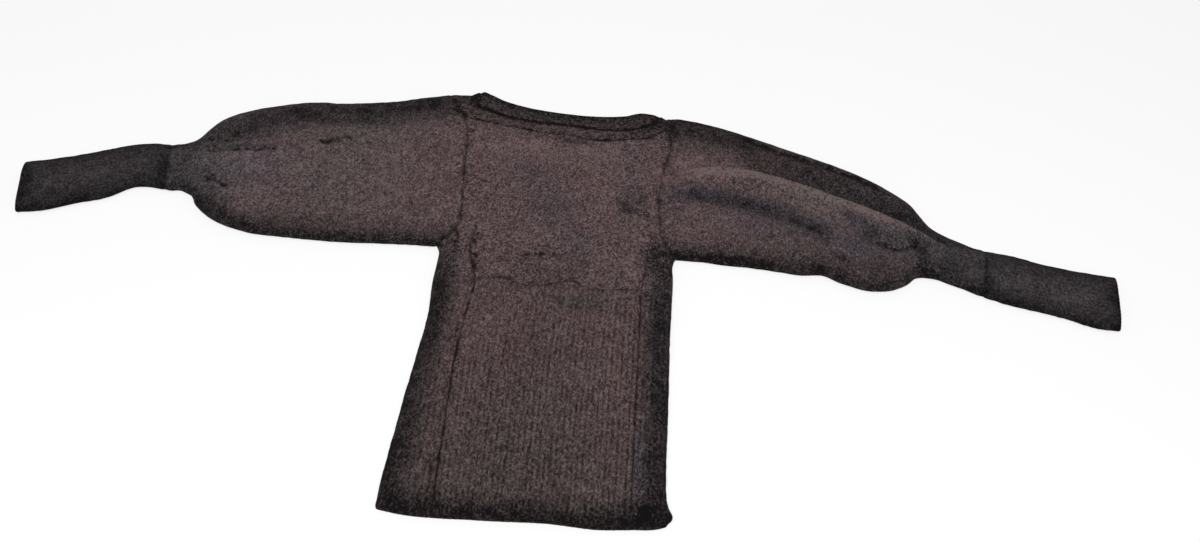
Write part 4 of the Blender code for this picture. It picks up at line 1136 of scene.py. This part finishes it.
# %% The neckband's shape
BACK_BAND_RISE = 0.0055
SHOULDER_END = len(RIGHT_ARMHOLE) - 1
shoulder = np.linspace(SHOULDER_END, NECK_CORNER, 26)
neck = np.linspace(0.0, 1.0, 246)[1:-1]
near = np.interp(-shoulder, -np.arange(SHOULDER_END, NECK_CORNER - 1, -1.0), SHOULDER_STEPS)
free = np.concatenate([near, near[-1] + (1.0 - 2.0 * near[-1]) * neck, 1.0 - near[::-1]])
steps = np.linspace(0.0, 1.0, 24)
halves = []
for seam_line, free_line in ((FRONT_NECK_SEAM, FRONT_FREE_EDGE), (BACK_NECK_SEAM, BACK_FREE_EDGE)):
    at_seam = np.concatenate([curve(RIGHT_ARMHOLE, shoulder), curve(seam_line, even(seam_line, neck)),
                              curve(LEFT_ARMHOLE, shoulder[::-1])])
    halves.append(span(at_seam, curve(free_line, even(free_line, free)), steps).swapaxes(0, 1))
front, back = halves
stand = np.abs(np.sin(math.pi * np.linspace(0.0, 1.0, back.shape[1]))) ** 0.7
lift = BACK_BAND_RISE * stand * steps[:, None] ** 2
grid = drawn_in(np.concatenate([front, back[:, -2::-1]], 1), 1)
lift = np.concatenate([np.zeros(front.shape[:2]), lift[:, -2::-1]], 1)
over, on_fold = ring_layers(grid, front.shape[1])
edge = (1.0 - steps)[:, None] * np.linalg.norm(grid[-1] - grid[0], axis=-1)
print(f"neckband: {edge.max():.3f} m at its widest")

# %% The neckband's dark edge and inside
# The free edge is painted nearly black, unevenly: painted shade along its rim. The inside of the back
# is painted in shadow next to the front's edge, and that painted shadow reaches a little further on
# the wearer's left.
RIM_SHADE, RIM_SHADE_REACH = 1.9, 0.0044
INSIDE_SHADE, INSIDE_REACH, INSIDE_REACH_LEFT, INSIDE_BLUR = 1.5, 0.0174, 0.0018, 0.0040
x, y = xy(grid)
past_front = near_any([drawn(FRONT_FREE_EDGE)], x, y, 0.03) + 0.0020 * uneven(x, y, 0.006, 2)
shaded = INSIDE_REACH + INSIDE_REACH_LEFT * smooth_step((x - 0.030) / 0.030)
inside = INSIDE_SHADE * smooth_step((shaded - past_front) / INSIDE_BLUR)
ragged = 1.0 + 0.50 * uneven(x, y, 0.006, 3) + 0.30 * uneven(x, y, 0.019, 4)
rim = RIM_SHADE * bell(edge, RIM_SHADE_REACH * np.maximum(ragged, 0.65))
inner_ends = smooth_step((x + 0.158) / 0.014) * smooth_step((0.147 - x) / 0.014)
make_cloth("neckband", patch(x, y, over, on_fold, wrap=True, edge=edge, lift=lift,
                             rim_dark=inner_ends * np.where(over, rim, inside)))

# %% [markdown]
# ## The finish of the wool
# Shader maths is easier to read as sums than as a web of nodes. A small class stands for a
# number in a material, and the usual signs add Math nodes. Another class stands for the
# material, and one method of it makes every node.

# %% A number in a material
class Amount:
    """A number that varies over the cloth. The usual signs work on it."""

    def __init__(self, finish, socket):
        self.finish, self.socket = finish, socket

    def maths(self, operation, first, second):
        made = self.finish.node("ShaderNodeMath", {"operation": operation}, {0: first, 1: second})
        return Amount(self.finish, made.outputs[0])

    def __add__(self, other):
        return self.maths("ADD", self, other)

    def __sub__(self, other):
        return self.maths("SUBTRACT", self, other)

    def __rsub__(self, other):
        return self.maths("SUBTRACT", other, self)

    def __mul__(self, other):
        return self.maths("MULTIPLY", self, other)

    __radd__, __rmul__ = __add__, __mul__

    def within(self, low, high):
        """The number, kept between two others."""
        return self.maths("MINIMUM", self.maths("MAXIMUM", self, low), high)


# %% A material's nodes
class Finish:
    """A material while it is being made."""

    def __init__(self, name):
        self.material = bpy.data.materials.new(name)
        self.material.use_nodes = True
        self.tree = self.material.node_tree
        self.tree.nodes.clear()

    def node(self, kind, settings=None, inputs=None):
        """Any node: its settings are made first, then each socket gets its value or link."""
        made = self.tree.nodes.new(kind)
        for key, value in (settings or {}).items():
            setattr(made, key, value)
        for key, value in (inputs or {}).items():
            value = value.socket if isinstance(value, Amount) else value
            if isinstance(value, bpy.types.NodeSocket):
                self.tree.links.new(value, made.inputs[key])
            else:
                made.inputs[key].default_value = value
        return made

    def noise(self, place, size, detail, curl=0.0):
        """Soft random values round zero, with lumps of about this size."""
        made = self.node("ShaderNodeTexNoise", {}, {"Vector": place, "Scale": 1.0 / size,
                                                    "Detail": detail, "Distortion": curl})
        return Amount(self, made.outputs[0]) - 0.5

    def mixed(self, share, first, second):
        """A colour between two others."""
        made = self.node("ShaderNodeMix", {"data_type": "RGBA"}, {0: share, 6: first, 7: second})
        return made.outputs[2]

    def vector(self, operation, inputs):
        """Maths on colours, part by part."""
        made = self.node("ShaderNodeVectorMath", {"operation": operation}, inputs)
        return made.outputs[0]

    def carried(self, title):
        """The three numbers of an attribute that the cloth carries."""
        values = self.node("ShaderNodeAttribute", {"attribute_name": title}).outputs["Vector"]
        split = self.node("ShaderNodeSeparateXYZ", {}, {0: values})
        return [Amount(self, output) for output in split.outputs]

    def place(self):
        """A place on the finished object, in metres."""
        return self.node("ShaderNodeTexCoord").outputs["Object"]

    def surfaced(self, shader):
        """The material, with this shader's output as its surface."""
        self.node("ShaderNodeOutputMaterial", {}, {"Surface": shader.outputs[0]})
        return self.material


# %% [markdown]
# Felted wool is short curled fibres, matt, with no gloss at all. Close to, its brown is a
# mix of light and nearly black flecks. The flecks lie along the ribs where there are ribs.
# Painted shade and wear make it darker, in grooves and creases darker still, and painted highlights
# make it lighter. Its hue goes from brown to plum, olive or grey, and the darker it is, the greyer. A
# faint sheen stands for the nap that catches light at a slant.

# %% Felted wool
FLECK, CURL, MOTTLE, CLOUD = 0.0027, 0.0056, 0.017, 0.060  # sizes of the wool's lumps
ROSY, BLUISH = 0.0052, 0.0046  # and of the tufts of odd-coloured fibres
DARKEST_TONE, LIGHTEST_TONE = 0.07, 1.95  # times the wool's own brown
PLUM = (0.83, 0.98, 1.16)  # what each hue makes of red, green and blue
OLIVE = (0.85, 1.00, 0.93)
GREY = (0.76, 0.99, 1.02)
FIBRES = ((1.07, 0.98, 1.00, 1.0), (0.93, 1.02, 1.00, 1.0),  # rosy and sage ones
          (1.00, 1.00, 1.07, 1.0), (1.00, 1.00, 0.93, 1.0))  # bluish and yellowish ones


def tinted(colour, tint=(1.0, 1.0, 1.0)):
    """A colour with its red, green and blue changed, and the fourth part that sockets need."""
    return tuple(part * change for part, change in zip(colour, tint)) + (1.0,)


def wool(name, colour, run, stretch, contrast, greying=1.0):
    """Felted wool. The flecks are drawn out along a direction of the plan, in degrees."""
    finish = Finish(name)
    place = finish.place()
    along = finish.node("ShaderNodeMapping", {"vector_type": "TEXTURE"}, {
        "Vector": place, "Rotation": (0.0, 0.0, math.radians(run)), "Scale": (stretch, 1.0, 1.0),
    }).outputs[0]
    fleck = finish.noise(along, FLECK, 3.0)
    curl = finish.noise(along, CURL, 2.0, 1.2)
    mottle = finish.noise(place, MOTTLE, 2.0)
    cloud = finish.noise(place, CLOUD, 2.0)
    rosy = finish.noise(place, ROSY, 2.0)
    bluish = finish.noise(place, BLUISH, 2.0, 0.8)
    dark, groove = finish.carried("wear")[:2]
    plum, olive, grey = finish.carried("hue")
    # dark holds painted shade and highlights as well as wear, groove holds painted shade in grooves
    # and creases as well as dirt in seams
    light = 1.0 - dark * (1.0 + 2.1 * curl + 1.5 * fleck + 1.3 * mottle)
    light = light * (1.0 - 0.82 * groove * (1.0 + 2.2 * fleck + 1.4 * curl))
    nap = contrast * (2.1 * fleck + 1.6 * curl) + 0.35 * mottle + 0.20 * cloud
    strength = 0.74 + 0.26 * light - 0.30 * groove * groove * groove
    level = 0.52 * light + (nap + 0.6 * nap * nap) * strength
    hue = finish.mixed(plum + 1.4 * mottle * plum, tinted(colour), tinted(colour, PLUM))
    hue = finish.mixed(olive + 0.9 * cloud, hue, tinted(colour, OLIVE))
    hue = finish.mixed(greying * (grey + 0.70 * dark), hue, tinted(colour, GREY))
    for fibres in (finish.mixed(0.5 + 4.0 * rosy + 1.5 * nap, *FIBRES[:2]),
                   finish.mixed(0.5 + 4.0 * bluish, *FIBRES[2:])):
        hue = finish.vector("MULTIPLY", {0: hue, 1: fibres})
    level = (0.05 + 1.90 * level).within(DARKEST_TONE, LIGHTEST_TONE)
    height = 0.6 * fleck + curl + 1.2 * mottle
    bump = finish.node("ShaderNodeBump", {}, {"Height": height, "Distance": 0.0025, "Strength": 0.5})
    return finish.surfaced(finish.node("ShaderNodeBsdfPrincipled", {}, {
        "Base Color": finish.vector("SCALE", {0: hue, "Scale": level}), "Roughness": 0.96,
        "Normal": bump.outputs[0], "Sheen Weight": 0.03, "Sheen Roughness": 0.6,
        "Sheen Tint": (1.0, 0.80, 0.84, 1.0), "Specular IOR Level": 0.06,
    }))


# %% The pieces' own browns
BROWN = (0.0910, 0.0592, 0.0604)
RIB_BROWN = (0.0835, 0.0551, 0.0556)
SLEEVE_BROWN = (0.0905, 0.0600, 0.0612)
CUFF_BROWN = (0.0412, 0.0347, 0.0361)
BAND_BROWN = (0.0590, 0.0410, 0.0419)
RIGHT_CUFF_RUN, LEFT_CUFF_RUN = 105.0, 78.0  # across each cuff's ribs, in degrees
finishes = {
    "front_bodice": ("bodice_wool", wool("bodice wool", BROWN, 90.0, 1.15, 1.10)),
    "front_rib_panel": ("ribbed_wool", wool("ribbed wool", RIB_BROWN, 90.0, 1.2, 0.95)),
    "right_sleeve": ("sleeve_wool", wool("sleeve wool", SLEEVE_BROWN, 90.0, 1.15, 0.95)),
    "right_cuff": ("cuff_wool",
                   wool("right cuff wool", CUFF_BROWN, RIGHT_CUFF_RUN, 1.2, 0.85, 0.3)),
    "left_cuff": ("cuff_wool",
                  wool("left cuff wool", CUFF_BROWN, LEFT_CUFF_RUN, 1.2, 0.85, 0.3)),
    "neckband": ("neckband_wool", wool("neckband wool", BAND_BROWN, 0.0, 1.2, 1.25)),
}
finishes["back_bodice"] = finishes["front_bodice"]
finishes["back_rib_panel"] = finishes["front_rib_panel"]
finishes["left_sleeve"] = finishes["right_sleeve"]
for name, (slot_name, material) in finishes.items():
    pieces[name].data.materials.append(material)
print(len(bpy.data.materials), "materials")

# %% [markdown]
# ## Seam yarn, darns and lint
# The seams are overcast by hand with dark yarn, which has sunk into the felt. The darns are
# woven: strands laid side by side, and others passed over and under them. Each strand is a
# curve with a round section, turned into a mesh. A ray straight down onto the cloth finds
# the height at which it lies.

# %% Laying a yarn on the cloth
def touch(x, y):
    """The height of the cloth at a place on the plan."""
    above, down = (x + SET_OVER[0], y + SET_OVER[1], 0.2), (0.0, 0.0, -1.0)
    heights = [0.0]
    for name in finishes:
        hit, place = pieces[name].ray_cast(above, down)[:2]
        if hit:
            heights.append(place.z)
    return max(heights)


def yarns(name, lines, thickness, material):
    """Strands through these points, joined as one mesh. Heights are above the cloth."""
    deselect_all()
    bpy.ops.curve.primitive_nurbs_path_add()
    strands = bpy.context.object
    strands.name = name
    strands.data.splines.clear()
    for line in lines:
        spline = strands.data.splines.new("POLY")
        spline.points.add(len(line) - 1)
        for point, (x, y, height) in zip(spline.points, line):
            point.co = (x + SET_OVER[0], y + SET_OVER[1], max(touch(x, y) + height, thickness), 1)
    strands.data.bevel_depth = thickness / 2.0
    strands.data.bevel_resolution = 1
    strands.data.use_fill_caps = True
    strands.data.materials.append(material)
    bpy.ops.object.convert(target="MESH")
    bpy.ops.object.shade_smooth()
    strands.data.name = name
    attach(strands, "root")
    keep(name, strands)


# %% Plain yarn
def plain_yarn(name, colour):
    """Matt yarn of one colour, a little lighter and darker along its length."""
    finish = Finish(name)
    level = 1.0 + 2.1 * finish.noise(finish.place(), 0.0016, 2.0)
    return finish.surfaced(finish.node("ShaderNodeBsdfPrincipled", {}, {
        "Base Color": finish.vector("SCALE", {0: colour, "Scale": level}), "Roughness": 0.95,
        "Sheen Weight": 0.1, "Specular IOR Level": 0.15,
    }))


DARK_YARN = plain_yarn("dark yarn", (0.020, 0.017, 0.018))
DARN_YARN = plain_yarn("darning yarn", (0.030, 0.024, 0.026))
LINT = plain_yarn("lint", (0.42, 0.40, 0.38))

# %% Overcast seams
SCATTER = np.random.default_rng(7)
WORN_AWAY = 0.3  # the share of the stitches that has felted away
STITCH_YARN, DARNING_YARN = 0.0009, 0.0011  # how thick


def overcast(path, pitch=0.0058, width=0.0030):
    """Slanting stitches over a seam, uneven as handwork is."""
    line = drawn(path, 0.002)
    length = np.linalg.norm(np.diff(line, axis=0), axis=1).sum()
    strands = []
    for share in np.arange(0.0, 1.0, pitch / length):
        share += SCATTER.uniform(-0.35, 0.35) * pitch / length
        if SCATTER.uniform() < WORN_AWAY:
            continue
        here, ahead = (curve(line, [at * (len(line) - 1)])[0]
                       for at in (share, share + 0.55 * pitch / length))
        run = unit(ahead - here)
        side = np.array([-run[1], run[0]]) * width * SCATTER.uniform(0.25, 0.75)
        steps = np.linspace(0.0, 1.0, 5)
        strands.append([(*(here - side + (ahead - here + 2 * side) * step),
                         -0.0006 + 0.0007 * math.sin(math.pi * step)) for step in steps])
    return strands


yarns("side_seam_yarn", overcast(RIGHT_SEAM[:-1]) + overcast(LEFT_SEAM[:-1]), STITCH_YARN,
      DARK_YARN)
yarns("armhole_seam_yarn", overcast(RIGHT_ARMHOLE) + overcast(LEFT_ARMHOLE), STITCH_YARN,
      DARK_YARN)
yarns("neck_seam_yarn", overcast(FRONT_NECK_SEAM), STITCH_YARN, DARK_YARN)
yarns("waist_seam_yarn", overcast(WAIST_SEAM, 0.0062, 0.0028), STITCH_YARN, DARK_YARN)

# %% Weaving a darn
WEAVE = 0.00035  # how far a strand goes over and under the others


def darn(x, y, width, length, turn, pitch=0.0030, ragged=0.4):
    """A small woven patch, turned on the plan by this many degrees."""
    cos, sin = math.cos(math.radians(turn)), math.sin(math.radians(turn))
    strands = []
    for reach, spread, crosswise in ((width, length, True), (length, width, False)):
        for number in range(max(int(spread / pitch), 2)):
            offset = (number + 0.5) * pitch - spread / 2.0 + SCATTER.uniform(-0.2, 0.2) * pitch
            ends = [reach * (0.5 + SCATTER.uniform(-ragged, ragged / 2)) for _ in range(2)]
            strand = []
            for along in np.arange(-ends[0], ends[1], pitch / 2.0):
                weave = math.cos(math.pi * (along / pitch + number)) * WEAVE
                right, up, weave = (along, offset, weave) if crosswise else (offset, along, -weave)
                strand.append((x + right * cos - up * sin, y + right * sin + up * cos,
                               0.0001 + weave))
            if len(strand) > 2:
                strands.append(strand)
    return strands


# %% Darns
chest = (darn(0.095, 0.484, 0.016, 0.009, -38, 0.0034, 0.6)
         + darn(0.111, 0.476, 0.032, 0.012, -6, 0.0038, 0.7)
         + darn(0.119, 0.500, 0.008, 0.028, 4, 0.0038, 0.7)
         + darn(0.127, 0.470, 0.009, 0.006, 0))
yarns("chest_darn", chest, 0.0010, DARN_YARN)
sleeve = (darn(-0.342, 0.571, 0.011, 0.010, 25, 0.0032, 0.6)
          + darn(-0.357, 0.565, 0.009, 0.005, 38, 0.0034, 0.6)
          + darn(-0.324, 0.577, 0.012, 0.005, -10, 0.0034, 0.6))
yarns("sleeve_darn", sleeve, DARNING_YARN, DARN_YARN)
waist = (darn(-0.0857, 0.344, 0.007, 0.005, -25) + darn(-0.054, 0.341, 0.009, 0.005, -30)
         + darn(0.028, 0.3445, 0.014, 0.004, 10))
yarns("waist_mends", waist, DARNING_YARN, DARN_YARN)
elbows = darn(-0.500, 0.479, 0.026, 0.006, -28) + darn(0.252, 0.541, 0.004, 0.013, 10)
yarns("elbow_mends", elbows, DARNING_YARN, DARN_YARN)

# %% Lint
def fluff(x, y, size):
    """A light curled fibre that has stuck to the wool."""
    turns = SCATTER.uniform(0.0, 2.0 * math.pi, 2)
    bends = zip(np.linspace(-0.5, 0.5, 6), np.linspace(0.0, 1.5, 6))
    return [[(x + size * math.cos(turns[0] + bend) * step,
              y + size * math.sin(turns[1] + bend) * step, 0.0003) for step, bend in bends]]


yarns("lint", fluff(-0.153, 0.540, 0.0028) + fluff(-0.1525, 0.541, 0.0022), STITCH_YARN, LINT)

# %% [markdown]
# ## What each piece is
# Every piece of cloth moves with the frame's one body and stands for its plain solid, which is
# hidden, and the size it is cut to before it is laid is printed. Sleeves, cuffs and the
# neckband are cut all round, so their flat width is twice what shows.

# %% Sheets
Cut = namedtuple("Cut", "width length area rests_on yarn")
CUTS = {
    "front_rib_panel": Cut(0.235, 0.350, None, ["back_rib_panel"], ["waist_seam_yarn"]),
    "back_rib_panel": Cut(0.440, 0.350, None, ["floor"], ["side_seam_yarn"]),
    "front_bodice": Cut(0.300, 0.310, 0.078, ["back_bodice"], ["chest_darn", "waist_mends", "lint"]),
    "back_bodice": Cut(0.370, 0.320, 0.105, ["floor"], []),
    "right_sleeve": Cut(0.590, 0.400, 0.215, ["floor"], ["armhole_seam_yarn", "sleeve_darn"]),
    "left_sleeve": Cut(0.590, 0.400, 0.195, ["floor"], ["elbow_mends"]),
    "right_cuff": Cut(0.195, 0.208, None, ["floor"], []),
    "left_cuff": Cut(0.185, 0.190, None, ["floor"], []),
    "neckband": Cut(0.700, 0.032, None, ["front_bodice", "back_bodice"], ["neck_seam_yarn"]),
}
for name, cut in CUTS.items():
    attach(pieces[name], "root")
    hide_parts(name)
    print(f"{name}: cut {cut.width} x {cut.length} m")

# %% [markdown]
# ## Floor, light and camera
# The sweater lies on a plain pale floor under one large soft lamp and an even surround. The
# lamp and the surround together light a level surface so that its colour shows about as it
# is written. The camera's rays see a brighter floor, so that it fades to white, but the
# sweater's soft shadow stays on it.

# %% Floor
deselect_all()
bpy.ops.mesh.primitive_plane_add(size=12.0, location=(0.0, 0.0, -0.0002))
floor = bpy.context.object
floor.name = "floor"
pale = Finish("pale floor")
ray = pale.node("ShaderNodeLightPath")
seen = sum(Amount(pale, ray.outputs[kind])
           for kind in ("Is Camera Ray", "Is Glossy Ray", "Is Transmission Ray"))
matt = pale.node("ShaderNodeBsdfDiffuse", {}, {"Color": (0.86, 0.86, 0.86, 1.0)})
glow = pale.node("ShaderNodeEmission", {}, {"Color": (1.0, 1.0, 1.0, 1.0), "Strength": 1.15})
both = pale.node("ShaderNodeMixShader", {}, {0: 0.55 * seen, 1: matt.outputs[0], 2: glow.outputs[0]})
floor.data.materials.append(pale.surfaced(both))

# %% Light
SURROUND = 0.45
LAMP_SHARE = 1.0 - SURROUND
world = bpy.data.worlds.new("surround")
world.use_nodes = True
background = world.node_tree.nodes["Background"]
background.inputs["Color"].default_value = (1.0, 1.0, 1.0, 1.0)
background.inputs["Strength"].default_value = SURROUND
bpy.context.scene.world = world

LAMP_DISTANCE = 3.0
LAMP_HEIGHT = math.radians(58.0)  # above the floor, on the hem's side
deselect_all()
bpy.ops.object.light_add(
    type="AREA",
    location=(0.0, -LAMP_DISTANCE * math.cos(LAMP_HEIGHT), LAMP_DISTANCE * math.sin(LAMP_HEIGHT)),
    rotation=(math.pi / 2.0 - LAMP_HEIGHT, 0.0, 0.0),
)
lamp = bpy.context.object
lamp.data.shape = "DISK"
lamp.data.size = 1.8
lamp.data.energy = LAMP_SHARE * math.pi**2 * LAMP_DISTANCE**2 / math.sin(LAMP_HEIGHT)
print(f"lamp: {lamp.data.energy:.1f} W")

# %% Camera
CAMERA_PLACE = (0.0871, -0.9208, 1.2052)
CAMERA_TURN = math.radians(1.286), math.radians(38.192), math.radians(2.970)
deselect_all()
bpy.ops.object.camera_add()
camera = bpy.context.object
camera.data.lens = 33.0
camera.data.sensor_width = 36.0
camera.matrix_world = (Matrix.Translation(CAMERA_PLACE) @ Matrix.Rotation(CAMERA_TURN[0], 4, "Z")
                       @ Matrix.Rotation(CAMERA_TURN[1], 4, "X")
                       @ Matrix.Rotation(CAMERA_TURN[2], 4, "Z"))
bpy.context.scene.camera = camera
bpy.context.scene.view_settings.view_transform = "Standard"
print("camera at", CAMERA_PLACE)
